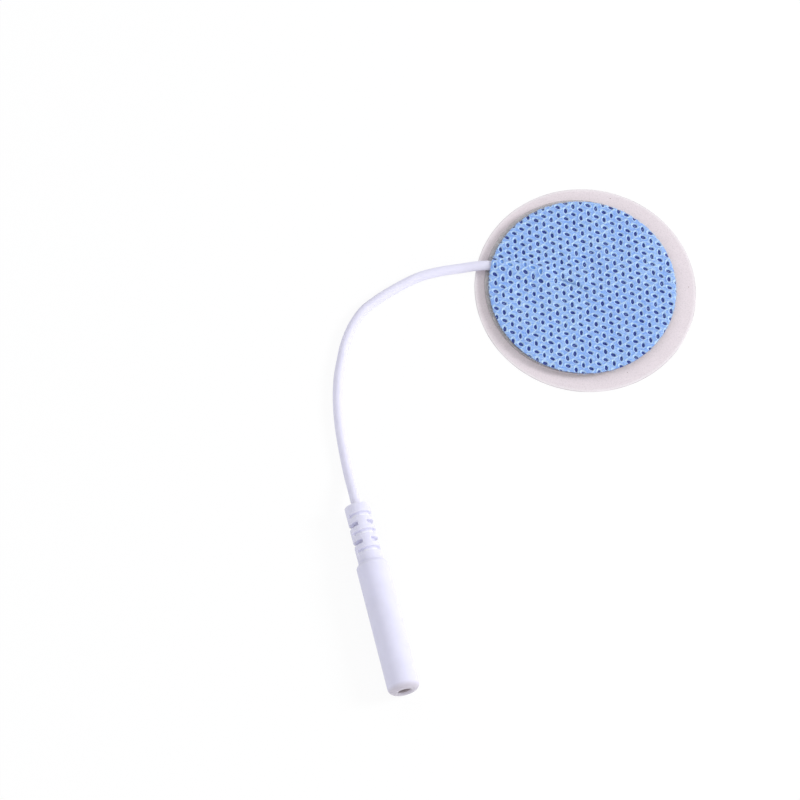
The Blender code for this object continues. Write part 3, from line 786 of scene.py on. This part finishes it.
def pit_places(emboss, levels):
    """The middle and the angle of every pit: a slanting lattice, turned in steps, drawn to the ridge.

    Pit (i, j) lies at start + i * row + j * column. Those with i + j even slant, and the others stand
    upright.
    """
    start, row, column = pit_lattice(emboss)
    most = int(2.2 * levels.pad_radius / min(emboss.row_pitch, emboss.column_pitch))
    numbers = np.arange(-most, most + 1)
    i, j = (part.ravel() for part in np.meshgrid(numbers, numbers, indexing="ij"))
    places = start + i[:, None] * row + j[:, None] * column
    slants = (i + j) % 2 == 0
    near = from_pad_centre(*places.T) < levels.pad_radius + 0.5 * MM
    places = places[near]
    shift = np.column_stack(cloth_shift(emboss, levels, *places.T))
    return places + shift, np.where(slants[near], SLANTED_PIT, UPRIGHT_PIT)


def diagonal_number(x, y, emboss, levels):
    """i + j of the place on the pits' lattice: whole on the diagonals of pits, halves between them."""
    start, row, column = pit_lattice(emboss)
    shift_x, shift_y = cloth_shift(emboss, levels, x, y)
    from_x = x - shift_x - start[0]
    from_y = y - shift_y - start[1]
    area = row[0] * column[1] - row[1] * column[0]
    i = (from_x * column[1] - from_y * column[0]) / area
    j = (from_y * row[0] - from_x * row[1]) / area
    return i + j


def pit_distance(x, y, places, angles, emboss, seed):
    """The distance to the nearest pit's middle, where 1 is its oval edge, and that pit's own tone."""
    rng = np.random.default_rng(seed)
    tones = rng.uniform(0.0, 1.0, len(places)) ** 1.6
    angles = angles + rng.normal(0.0, 0.06, len(places))
    lengths = emboss.pit_length / 2 * rng.normal(1.0, 0.03, len(places))
    widths = emboss.pit_width / 2 * rng.normal(1.0, 0.05, len(places))
    shifts = rng.normal(0.0, 0.025 * MM, (len(places), 2))
    nearest = np.full(x.shape, 9.0)
    tone = np.zeros(x.shape)
    for place, angle, length, width, value in zip(places + shifts, angles, lengths, widths, tones):
        from_x = x - place[0]
        from_y = y - place[1]
        along = (from_x * math.cos(angle) + from_y * math.sin(angle)) / length
        across = (from_y * math.cos(angle) - from_x * math.sin(angle)) / width
        distance = np.hypot(along, across)
        closer = distance < nearest
        nearest[closer] = distance[closer]
        tone[closer] = value
    return nearest, tone


def fibres(name, paths, radius):
    """Thin three-sided tubes: paths[k] is one fibre's points, and its ends taper to 0.4 of the radius.

    The radius at t, from -1 to 1 along the fibre, is 1 - 0.6 t^4 of the whole.
    """
    count, rings, _ = paths.shape
    thick = radius * (1.0 - 0.6 * np.abs(np.linspace(-1.0, 1.0, rings)) ** 4)[:, None, None]
    points = (paths[:, :, None] + thick * spokes(paths, 3)).reshape(-1, 3)
    last = 3 * (rings - 1)
    ends = np.array([(0, 1, 2), (last + 2, last + 1, last)])
    one = np.vstack([grid_triangles(rings, 3, wrap_columns=True), ends])
    triangles = one[None] + (3 * rings * np.arange(count))[:, None, None]
    return mesh_piece(name, points, triangles.reshape(-1, 3), 180.0)


class ELECTRODE_OT_stage(bpy.types.Operator):
    """Lay the floor and set the soft light and the camera"""

    bl_idname = "electrode.stage"
    bl_label = "Studio"

    def execute(self, context):
        scene = context.scene
        studio = scene.electrode_studio
        reach = 2.0
        corners = reach * np.array([(-1, -1, 0), (1, -1, 0), (1, 1, 0), (-1, 1, 0)])
        floor = mesh_piece("floor", corners, [(0, 1, 2), (0, 2, 3)])
        floor.data.materials.append(self.floor_material(studio.floor_white))
        self.lamp(scene, "key lamp", KEY_PLACE, KEY_SIZE, studio.key_power)
        self.lamp(scene, "fill lamp", FILL_PLACE, FILL_SIZE, studio.fill_power)
        scene.world = self.sky(studio.sky)
        scene.view_settings.view_transform = "Standard"
        data = bpy.data.cameras.new("camera")
        data.lens = CAMERA_LENS
        data.sensor_width = SENSOR_WIDTH
        data.clip_start = 0.01
        camera = bpy.data.objects.new("camera", data)
        camera.location = CAMERA_PLACE
        tilt = Matrix.Rotation(CAMERA_TILT, 3, "X")
        roll = Matrix.Rotation(CAMERA_ROLL, 3, "Z")
        camera.rotation_euler = (tilt @ roll).to_euler()
        scene.collection.objects.link(camera)
        scene.camera = camera
        return {"FINISHED"}

    def lamp(self, scene, name, place, size, power):
        """A square lamp that faces the middle of the pad from its place."""
        data = bpy.data.lights.new(name, "AREA")
        data.size = size
        data.energy = power
        lamp = bpy.data.objects.new(name, data)
        away = np.array(place)
        lamp.location = place
        lean = math.acos(away[2] / np.linalg.norm(away))
        lamp.rotation_euler = (lean, 0.0, math.atan2(away[0], -away[1]))
        scene.collection.objects.link(lamp)

    def sky(self, strength):
        """Even light of that strength, which the camera itself sees at full strength."""
        world = bpy.data.worlds.new("even sky")
        n = Nodes(world, "Background")
        n.constants(Color=(0.98, 0.98, 1.0, 1.0))
        towards_full = n.times(n.seen(), 1.0 - strength)
        n.link(n.plus(towards_full, strength), n.shader.inputs["Strength"])
        return world

    def floor_material(self, white):
        """A pale matt floor that is nearly white to the camera and keeps a soft shadow."""
        made = bpy.data.materials.new("pale floor")
        n = Nodes(made)
        n.constants(Base_Color=(0.96, 0.96, 0.96, 1.0), Roughness=0.9, Specular_IOR_Level=0.0)
        mixed = n.add("ShaderNodeMixShader")
        n.link(n.times(n.seen(), white), mixed.inputs[0])
        n.link(n.shader.outputs[0], mixed.inputs[1])
        n.link(n.add("ShaderNodeEmission").outputs[0], mixed.inputs[2])
        n.link(mixed.outputs[0], n.tree.nodes["Material Output"].inputs["Surface"])
        return made


class ELECTRODE_OT_liner(bpy.types.Operator):
    """Lay the clear release film"""

    bl_idname = "electrode.liner"
    bl_label = "Release liner"

    def execute(self, context):
        sizes = context.scene.electrode_laminate
        radius = sizes.liner_diameter / 2
        face = flat(sizes.liner_thickness)
        rim = [(0.035 * MM, 0.08), (0.06 * MM, 0.26), (0.075 * MM, 0.55), (0.07 * MM, 0.85)]
        rim.append((0.04 * MM, 1.0))
        piece = slab("liner", (0.0, 0.0), radius - 0.078 * MM, 96, face, flat(0.0), rim)
        co = np.zeros(3 * len(piece.data.vertices))
        piece.data.vertices.foreach_get("co", co)
        co = co.reshape(-1, 3)
        set_values(piece, "from_edge", radius - np.hypot(co[:, 0], co[:, 1]))
        finished(piece, liner_material(context.scene.electrode_colours), "liner_film", "release_liner")
        return {"FINISHED"}


class ELECTRODE_OT_gel(bpy.types.Operator):
    """Lay the hydrogel, with its soft edge swelling out under the film"""

    bl_idname = "electrode.gel"
    bl_label = "Hydrogel"

    def execute(self, context):
        levels = Levels(context.scene)

        def face(x, y):
            """The gel's face, pressed down under the lead."""
            return levels.gel_top - levels.film_press(x, y)

        def outline(angle):
            """Two sines round the edge, so that it isn't quite round."""
            return 0.03 * MM * np.sin(3.0 * angle + 1.0) + 0.02 * MM * np.sin(11.0 * angle)

        downs = np.linspace(0.0, 1.0, 9)[1:]
        swell = 0.10 * MM * np.maximum(np.sin(math.pi * downs), 0.0) ** 0.7
        swell[-1] = 0.0
        rim = list(zip(swell, downs))
        radius = levels.pad_radius - 0.02 * MM
        piece = slab("gel", GEL_CENTRE, radius, 128, face, flat(levels.gel_base), rim, outline)
        finished(piece, gel_material(context.scene.electrode_colours), "hydrogel", "hydrogel")
        return {"FINISHED"}


class ELECTRODE_OT_film(bpy.types.Operator):
    """Lay the black conductive film, pressed down under the lead"""

    bl_idname = "electrode.film"
    bl_label = "Carbon film"

    def execute(self, context):
        levels = Levels(context.scene)

        def face(x, y):
            """The film's face."""
            return levels.film_top - levels.film_press(x, y)

        def base(x, y):
            """The film's underside, parallel to its face."""
            return levels.film_base - levels.film_press(x, y)

        rim = [(0.01 * MM, 0.3), (0.01 * MM, 0.7), (0.0, 1.0)]
        piece = slab("film", PAD_CENTRE, levels.pad_radius - 0.06 * MM, 128, face, base, rim)
        finished(piece, film_material(context.scene.electrode_colours), "carbon_film", "carbon_film")
        return {"FINISHED"}


class ELECTRODE_OT_cloth(bpy.types.Operator):
    """Lay the embossed blue cloth, raised over the lead"""

    bl_idname = "electrode.cloth"
    bl_label = "Fabric backing"

    # How many loose fibres lie on the face and stand out at the edge
    face_count = 5200
    edge_count = 420

    def execute(self, context):
        emboss = context.scene.electrode_emboss
        levels = Levels(context.scene)
        places, angles = pit_places(emboss, levels)
        kept = {}

        def face(x, y):
            """The cloth's face.

            Thickness + ridge + waves + fuzz, less the quilting exp(-(d - 1.2) / 0.8) and the pit's own
            wall between d = 1.45 and d = 0.95, plus a rim as a Gaussian about d = 1.65, where d is the
            distance from the nearest pit and 1 is the edge of its floor.
            """
            distance, tone = pit_distance(x, y, places, angles, emboss, 11)
            warp = 0.10 * lattice_noise(x, y, 0.22 * MM, 3)
            distance = distance + warp
            in_pit = smooth_step((1.45 - distance) / 0.5)
            quilt = np.exp(-np.maximum(distance - 1.2, 0.0) / 0.8)
            rim = np.exp(-(((distance - 1.65) / 0.25) ** 2))
            fuzz = 0.6 * lattice_noise(x, y, 0.16 * MM, 5) + 0.4 * lattice_noise(x, y, 0.31 * MM, 6)
            waves = 0.035 * MM * lattice_noise(x, y, 2.4 * MM, 7)
            waves = waves + 0.05 * MM * lattice_noise(x, y, 6.0 * MM, 8)
            inwards, aside = levels.lead_frame(x, y)
            line = np.interp(inwards, LEAD_SHOWS_INWARDS, LEAD_SHOWS_ASIDE)
            over = smooth_step((LEAD_SHOWS_WIDE - np.abs(aside - line)) / (0.2 * MM))
            over = over * smooth_step((levels.tuck_length + 0.6 * MM - inwards) / (1.2 * MM))
            inside_edge = levels.pad_radius - from_pad_centre(x, y)
            thin_edge = smooth_step(1.0 - inside_edge / (0.35 * MM))
            kept["from_pit"] = np.minimum(distance, 3.0)
            kept["bond_tone"] = tone
            kept["over_lead"] = over
            # The crease, kept also for the painted shade along it
            kept["crease_shade"] = levels.crease(x, y)
            kept["diagonal"] = diagonal_number(x, y, emboss, levels)
            height = levels.cloth_base + levels.cloth_thickness + levels.cloth_rise(x, y)
            height = height + waves * (1.0 - thin_edge) + emboss.fuzz_height * fuzz * (1.0 - in_pit)
            height = height - emboss.quilt_depth * quilt + emboss.rim_height * rim
            height = height - (emboss.pit_depth - emboss.quilt_depth) * in_pit - 0.10 * MM * thin_edge
            return height - emboss.crease_depth * levels.crease(x, y)

        def base(x, y):
            """The cloth's underside, which follows the ridge."""
            return levels.cloth_base + levels.cloth_rise(x, y)

        def outline(angle):
            """The uneven cut edge, as noise along it."""
            x = 16.0 * MM * np.cos(angle)
            y = 16.0 * MM * np.sin(angle)
            return 0.035 * MM * lattice_noise(x, y, 0.25 * MM, 9) - 0.02 * MM

        rim = [(0.012 * MM, 0.25), (0.015 * MM, 0.55), (0.008 * MM, 0.85), (0.0, 1.0)]
        piece = slab("cloth", PAD_CENTRE, levels.pad_radius, 288, face, base, rim, outline)
        for name, values in kept.items():
            set_values(piece, name, padded_values(values, piece))
        finished(piece, cloth_material(context.scene.electrode_colours), "blue_fabric", "fabric_backing")
        self.loose_fibres(context, levels, face)
        return {"FINISHED"}

    def loose_fibres(self, context, levels, face):
        """Fibres that lie on the face between the pits, and short ones that stand out at the cut edge.

        Each is an arc: point t, from -0.5 to 0.5, lies at middle + t * length * (cos a, sin a) +
        bend * t * t across that, a little above the face or, at the edge, hanging outwards.
        """
        emboss = context.scene.electrode_emboss
        rng = np.random.default_rng(21)
        t = np.linspace(-0.5, 0.5, 6)[None, :]

        def arcs(x, y, angle, length, bend):
            """The x and y of each arc's points."""
            along = t * length[:, None]
            across = t * t * bend[:, None]
            cosine = np.cos(angle)[:, None]
            sine = np.sin(angle)[:, None]
            arc_x = x[:, None] + along * cosine - across * sine
            arc_y = y[:, None] + along * sine + across * cosine
            return arc_x, arc_y

        count = self.face_count
        radius = (levels.pad_radius - 0.3 * MM) * np.sqrt(rng.uniform(0.0, 1.0, count))
        turn = rng.uniform(0.0, 2.0 * math.pi, count)
        length = rng.uniform(0.5, 1.5, count) * MM
        bend = rng.normal(0.0, 0.35, count) * MM
        angle = rng.uniform(0.0, math.pi, count)
        x = PAD_CENTRE[0] + radius * np.cos(turn)
        y = PAD_CENTRE[1] + radius * np.sin(turn)
        x, y = arcs(x, y, angle, length, bend)
        places, angles = pit_places(emboss, levels)
        distance, _ = pit_distance(x, y, places, angles, emboss, 11)
        inside = from_pad_centre(x, y) < levels.pad_radius - 0.1 * MM
        clear = (distance.min(axis=1) > 1.25) & inside.all(axis=1)
        lift = rng.uniform(0.002, 0.022, (clear.sum(), 1)) * MM
        paths = np.stack([x[clear], y[clear], face(x[clear], y[clear]) + lift], axis=2)
        material = fibre_material(context.scene.electrode_colours)
        finished(fibres("face_fibres", paths, 0.011 * MM), material, "blue_fabric")

        count = self.edge_count
        turn = rng.uniform(0.0, 2.0 * math.pi, count)
        length = rng.uniform(0.25, 0.75, count) * MM
        bend = rng.normal(0.0, 0.5, count) * MM
        out = rng.uniform(-0.10, 0.10, count) * MM
        x = PAD_CENTRE[0] + (levels.pad_radius + out) * np.cos(turn)
        y = PAD_CENTRE[1] + (levels.pad_radius + out) * np.sin(turn)
        lean = rng.normal(0.0, 0.9, count)
        x, y = arcs(x, y, turn + lean, length, bend)
        past = np.maximum(from_pad_centre(x, y) - levels.pad_radius, 0.0)
        height = levels.cloth_base + levels.cloth_rise(x, y) + rng.uniform(0.08, 0.30, (count, 1)) * MM
        paths = np.stack([x, y, height - past * rng.uniform(-0.2, 0.9, (count, 1))], axis=2)
        finished(fibres("edge_fibres", paths, 0.016 * MM), material, "blue_fabric")


def lead_route(levels, connector):
    """The lead's own points: tucked, then free on the surface, then up into the connector.

    A free point lies at the resting height, raised near the pad to the tucked height and near the
    collar to the connector's axis, each along an S-curve.
    """
    entry = np.array([*levels.entry, levels.tuck_height])
    inwards = np.array([*ALONG, 0.0])
    collar = np.array([*COLLAR_PLACE, connector.body_diameter / 2])
    from_entry = np.hypot(*(FREE_ROUTE - entry[:2]).T)
    from_collar = np.hypot(*(FREE_ROUTE - collar[:2]).T)
    drop = (levels.tuck_height - levels.rest_height) * (1.0 - smooth_step(from_entry / (5.0 * MM)))
    climb = (collar[2] - levels.rest_height) * (1.0 - smooth_step(from_collar / (8.0 * MM)))
    free = np.column_stack([FREE_ROUTE, levels.rest_height + drop + climb])
    strip = connector.length - INSULATION_STOPS
    tucked = [entry + levels.tuck_length * inwards, entry + levels.tuck_length / 2 * inwards, entry]
    return np.vstack([tucked, free, [collar, collar + strip / 2 * HEADING, collar + strip * HEADING]])


def smooth_path(points, spacing, lowest):
    """Points at even spacing on a Catmull-Rom curve, whose pieces each blend four given points."""
    route = np.vstack([2 * points[0] - points[1], points, 2 * points[-1] - points[-2]])
    t = np.linspace(0.0, 1.0, 25)[:-1, None, None]
    p, q, r, s = (route[k : len(route) - 3 + k] for k in range(4))
    square = (2 * p - 5 * q + 4 * r - s) * t**2
    cube = (3 * q - p - 3 * r + s) * t**3
    curve = 0.5 * (2 * q + (r - p) * t + square + cube)
    fine = np.vstack([curve.transpose(1, 0, 2).reshape(-1, 3), points[-1:]])
    fine[:, 2] = np.maximum(fine[:, 2], lowest)
    run = np.concatenate([[0.0], np.cumsum(np.linalg.norm(np.diff(fine, axis=0), axis=1))])
    even = np.linspace(0.0, run[-1], round(run[-1] / spacing) + 1)
    return np.column_stack([np.interp(even, run, fine[:, k]) for k in range(3)]), run[-1]


def tube(name, path, radius, sides):
    """A round tube: at each point of the path a circle across it, and a fan to close each end."""
    ring = path[:, None] + radius * spokes(path, sides)
    count = len(path) * sides
    points = np.vstack([ring.reshape(-1, 3), path[:1], path[-1:]])
    k = np.arange(sides)
    k_next = (k + 1) % sides
    start_cap = np.column_stack([k, k_next, np.full(sides, count)])
    last = count - sides
    end_cap = np.column_stack([last + k_next, last + k, np.full(sides, count + 1)])
    sleeve = grid_triangles(len(path), sides, wrap_columns=True)
    return mesh_piece(name, points, np.vstack([sleeve, start_cap, end_cap]))


class ELECTRODE_OT_lead(bpy.types.Operator):
    """Run the insulated lead from the pad to the connector"""

    bl_idname = "electrode.lead"
    bl_label = "Lead"

    def execute(self, context):
        scene = context.scene
        levels = Levels(scene)
        colours = scene.electrode_colours
        route = lead_route(levels, scene.electrode_connector)
        path, length = smooth_path(route, 0.25 * MM, levels.rest_height)
        piece = tube("lead", path, levels.wire_radius, 32)
        material = plastic_material("white insulation", tuple(colours.lead), 0.55, 5000.0)
        finished(piece, material, "insulation", "lead_wire")
        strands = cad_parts["lead_conductor"]
        strands.data.materials.clear()
        strands.data.materials.append(metal_material("bare copper", tuple(colours.copper), 0.34))
        return {"FINISHED"}


def corner(radius, distance, size, start, end, steps):
    """Points (radius, distance) on a small arc about its centre, from one angle to another."""
    angle = np.linspace(start, end, steps + 1)
    return np.column_stack([radius + size * np.cos(angle), distance + size * np.sin(angle)])


def turned(name, radius, distance):
    """A piece turned about the connector's axis, whose profile's two ends meet.

    Point (r, d) at angle t lies at collar + d * heading + r * cos t * down + r * sin t * sideways.
    """
    sides = radius.shape[1]
    turn = round_angles(sides)[None, :, None]
    collar = np.array([*COLLAR_PLACE, bpy.context.scene.electrode_connector.body_diameter / 2])
    spoke = np.cos(turn) * DOWNWARDS + np.sin(turn) * SIDEWAYS
    points = collar + distance[:, :, None] * HEADING + radius[:, :, None] * spoke
    triangles = grid_triangles(len(radius), sides, wrap_rows=True, wrap_columns=True)
    return mesh_piece(name, points.reshape(-1, 3), triangles, 35.0)


class ELECTRODE_OT_connector(bpy.types.Operator):
    """Mould the connector over the lead, and turn the contact inside it"""

    bl_idname = "electrode.connector"
    bl_label = "Connector"
    sides = 144

    # The relief's slots, and how thick the plastic on their floors stands round the lead
    slot_start = 2.0 * MM
    slot_pitch = 1.57 * MM
    slot_count = 5
    slot_wall = 0.17 * MM
    sleeve_over_web = 0.82 * MM
    sleeve_left = 0.36 * MM
    sleeve_right = 0.62 * MM

    # The contact, as in the part's source
    contact_sink = 1.4 * MM
    tube_length = 13.0 * MM
    flange_length = 0.6 * MM
    barrel_length = 3.2 * MM
    bore_depth = 11.8 * MM
    crimp_depth = 2.6 * MM
    contact_radii = np.array([1.4, 1.7, 0.95]) * MM
    clearance = 0.03 * MM

    def execute(self, context):
        scene = context.scene
        colours = scene.electrode_colours
        sizes = scene.electrode_connector
        radius, distance = self.outside(sizes, Levels(scene).wire_radius)
        inner_radius, inner_distance = self.inside(sizes, Levels(scene).wire_radius + self.clearance)
        wide = np.ones((1, self.sides))
        radius = np.vstack([radius, inner_radius[:, None] * wide])
        distance = np.vstack([distance, inner_distance[:, None] * wide])
        moulding = turned("moulding", radius, distance)
        # The bore's rows, which carry painted shade inside the mouth
        hollow = np.zeros(radius.shape)
        hollow[-len(inner_radius) - 1 :] = 1.0
        set_values(moulding, "bore", hollow)
        # Painted shade on the end face
        set_values(moulding, "end_face_shade", smooth_step((distance - sizes.length + 1.3 * MM) / (1.1 * MM)))
        # Painted highlight on the slots' floors
        set_values(moulding, "slot_floor_highlight", self.slot_floor_highlight(sizes, radius, distance))
        plastic = moulding_material(tuple(colours.moulding))
        finished(moulding, plastic, "moulding", "connector_boot")
        contact = turned("contact", *self.contact(sizes))
        brass = metal_material("brass", tuple(colours.brass), 0.3)
        finished(contact, brass, "contact_brass", "socket_contact")
        return {"FINISHED"}

    def slot_floor_highlight(self, sizes, radius, distance):
        """How much painted highlight lies on the floors of the slots over the web, past their middle:
        patches, at most 1.

        Round the relief the patches follow 0.7 + 0.3 sin(7 t + 2.3 number).
        """
        number = np.round((distance - self.slot_start) / self.slot_pitch)
        past_middle = distance - self.slot_start - number * self.slot_pitch
        over_web = (number % 2 == 0) & (number >= 0) & (number < self.slot_count)
        lower = smooth_step(past_middle / (0.12 * MM) + 0.5)
        sunk = smooth_step((self.plain_radius(sizes, distance) - radius) / (0.10 * MM))
        turn = round_angles(self.sides)[None, :]
        patches = 0.7 + 0.3 * np.sin(7.0 * turn + 2.3 * number)
        return patches * lower * sunk * over_web * (np.abs(past_middle) < sizes.slot_width / 2)

    def plain_radius(self, sizes, distance):
        """The relief's radius without its slots, which widens evenly from the collar to the neck."""
        collar = sizes.collar_diameter / 2
        neck = sizes.neck_diameter / 2
        return collar + (neck - collar) * distance / sizes.relief_length

    def relief_radius(self, sizes, distance, wire_radius):
        """The relief's radius at each place along it and each angle round it.

        A pocket's depth inside its edge is u = r |cos t| - web / 2 across the web and v = width / 2 - |d|
        along the relief, or the distance to a rounded corner where both are small. The radius goes along
        an S-curve from the plain one at the edge to the floor: the web's face, web / 2 / |cos t|, or the
        sleeve round the lead, whichever stands higher.
        """
        turn = round_angles(self.sides)[None, :]
        distance = np.asarray(distance)[:, None]
        plain = self.plain_radius(sizes, distance) * np.ones_like(turn)
        radius = plain.copy()
        rounding = sizes.edge_round
        for number in range(self.slot_count):
            facing = np.maximum(np.abs(np.cos(turn - 0.5 * math.pi * number)), 0.05)
            place = self.slot_start + number * self.slot_pitch
            across = plain * facing - sizes.slot_web / 2
            along = sizes.slot_width / 2 - np.abs(distance - place) + 0.0 * turn
            near_corner = (across < rounding) & (along < rounding)
            to_corner = rounding - np.hypot(rounding - across, rounding - along)
            inside = np.where(near_corner, to_corner, np.minimum(across, along))
            to_side = np.where(np.sin(turn) > 0.0, self.sleeve_right, self.sleeve_left)
            least = wire_radius + (to_side if number % 2 else self.sleeve_over_web)
            floor = np.minimum(np.maximum(sizes.slot_web / 2 / facing, least), plain)
            radius = np.minimum(radius, plain + (floor - plain) * smooth_step(inside / self.slot_wall))
        return radius

    def outside(self, sizes, wire_radius):
        """The outer surface from the collar's face to the end's mouth, one row for each ring."""
        wide = np.ones((1, self.sides))
        chamfer = 0.07 * MM
        collar = sizes.collar_diameter / 2
        neck = sizes.neck_diameter / 2
        body = sizes.body_diameter / 2
        mouth = sizes.mouth_diameter / 2
        shoulder = 0.9 * MM
        end = 1.1 * MM
        bevel = 0.28 * MM
        start = corner(collar - chamfer, chamfer, chamfer, -math.pi / 2, 0.0, 4)
        half = sizes.slot_width / 2
        wall = np.linspace(0.0, self.slot_wall, 7)
        steps = np.concatenate([wall, [0.5 * (self.slot_wall + half), half]])
        offsets = np.concatenate([steps - half, (half - steps)[-2::-1]])
        places = self.slot_start + self.slot_pitch * np.arange(self.slot_count)
        slotted = (places[:, None] + offsets).ravel()
        rise = np.linspace(0.0, 1.0, 9)
        swell = neck + (body - neck) * smooth_step(rise)
        straight = np.linspace(sizes.relief_length + shoulder, sizes.length - end, 12)[1:-1]
        rounded = corner(body - end, sizes.length - end, end, 0.0, 0.5 * math.pi, 12)
        lip = np.array(
            [
                (mouth + bevel + 0.06 * MM, sizes.length),
                (mouth + bevel, sizes.length - 0.01 * MM),
                (mouth + 0.02 * MM, sizes.length - bevel),
                (mouth, sizes.length - bevel - 0.04 * MM),
            ]
        )
        radius = np.concatenate([swell, np.full(len(straight), body), rounded[:, 0], lip[:, 0]])
        shoulders = sizes.relief_length + shoulder * rise
        distance = np.concatenate([shoulders, straight, rounded[:, 1], lip[:, 1]])
        relief = self.relief_radius(sizes, slotted, wire_radius)
        radius = np.vstack([start[:, :1] * wide, relief, radius[:, None] * wide])
        distance = np.concatenate([start[:, 1], slotted, distance])
        return radius, distance[:, None] * wide

    def contact_steps(self, sizes):
        """How far from the collar the contact's front, tube, flange and barrel end."""
        front = sizes.length - self.contact_sink
        back = front - self.tube_length
        flange = back - self.flange_length
        return front, back, flange, flange - self.barrel_length

    def inside(self, sizes, wire_hole):
        """The hollow from the mouth back to the collar, clear of the contact and of the lead."""
        front, back, flange, barrel = self.contact_steps(sizes)
        tube_radius, flange_radius, barrel_radius = self.contact_radii + self.clearance
        steps = [
            (sizes.mouth_diameter / 2, front + self.clearance),
            (tube_radius, front + self.clearance),
            (tube_radius, back + self.clearance),
            (flange_radius, back + self.clearance),
            (flange_radius, flange - self.clearance),
            (barrel_radius, flange - self.clearance),
            (barrel_radius, barrel - self.clearance),
            (wire_hole, barrel - self.clearance),
            (wire_hole, 0.0),
        ]
        return np.array(steps).T

    def contact(self, sizes):
        """The brass socket: bore, mouth, tube, flange, crimp barrel and crimp hole, as one profile."""
        front, back, flange, barrel = self.contact_steps(sizes)
        tube_radius, flange_radius, barrel_radius = self.contact_radii
        tip = 0.001 * MM
        steps = [
            (tip, front - self.bore_depth),
            (1.0 * MM, front - self.bore_depth),
            (1.0 * MM, front - 0.15 * MM),
            (1.15 * MM, front),
            (tube_radius, front),
            (tube_radius, back),
            (flange_radius, back),
            (flange_radius, flange),
            (barrel_radius, flange),
            (barrel_radius, barrel),
            (0.33 * MM, barrel),
            (0.33 * MM, barrel + self.crimp_depth),
            (tip, barrel + self.crimp_depth),
        ]
        radius, distance = np.array(steps[::-1]).T
        wide = np.ones((1, 96))
        return radius[:, None] * wide, distance[:, None] * wide


class ELECTRODE_PT_sidebar(bpy.types.Panel):
    """Lists the pieces and their sizes"""

    bl_idname = "ELECTRODE_PT_sidebar"
    bl_label = "Round Electrode Pad"
    bl_space_type = "VIEW_3D"
    bl_region_type = "UI"
    bl_category = "Electrode"

    def draw(self, context):
        for name, group in GROUPS.items():
            box = self.layout.box()
            box.label(text=group.__doc__)
            settings = getattr(context.scene, name)
            for prop in group.__annotations__:
                box.prop(settings, prop)
        for step in STEPS:
            self.layout.operator(step.bl_idname)


GROUPS = {
    "electrode_laminate": LaminateSizes,
    "electrode_emboss": EmbossSizes,
    "electrode_lead": LeadSizes,
    "electrode_connector": ConnectorSizes,
    "electrode_colours": PadColours,
    "electrode_studio": StudioSettings,
}
STEPS = (
    ELECTRODE_OT_stage,
    ELECTRODE_OT_connector,
    ELECTRODE_OT_lead,
    ELECTRODE_OT_liner,
    ELECTRODE_OT_gel,
    ELECTRODE_OT_film,
    ELECTRODE_OT_cloth,
)
CLASSES = (*GROUPS.values(), *STEPS, ELECTRODE_PT_sidebar)


def register():
    """Adds the classes and the scene's groups of settings."""
    for cls in CLASSES:
        bpy.utils.register_class(cls)
    for name, group in GROUPS.items():
        setattr(bpy.types.Scene, name, bpy.props.PointerProperty(type=group))


def unregister():
    """Takes the groups of settings and the classes away again."""
    for name in GROUPS:
        delattr(bpy.types.Scene, name)
    for cls in reversed(CLASSES):
        bpy.utils.unregister_class(cls)


def main():
    """Registers the classes and builds every piece in order."""
    register()
    bpy.ops.electrode.stage()
    bpy.ops.electrode.connector()
    bpy.ops.electrode.lead()
    bpy.ops.electrode.liner()
    bpy.ops.electrode.gel()
    bpy.ops.electrode.film()
    bpy.ops.electrode.cloth()


if __name__ == "__main__":
    main()
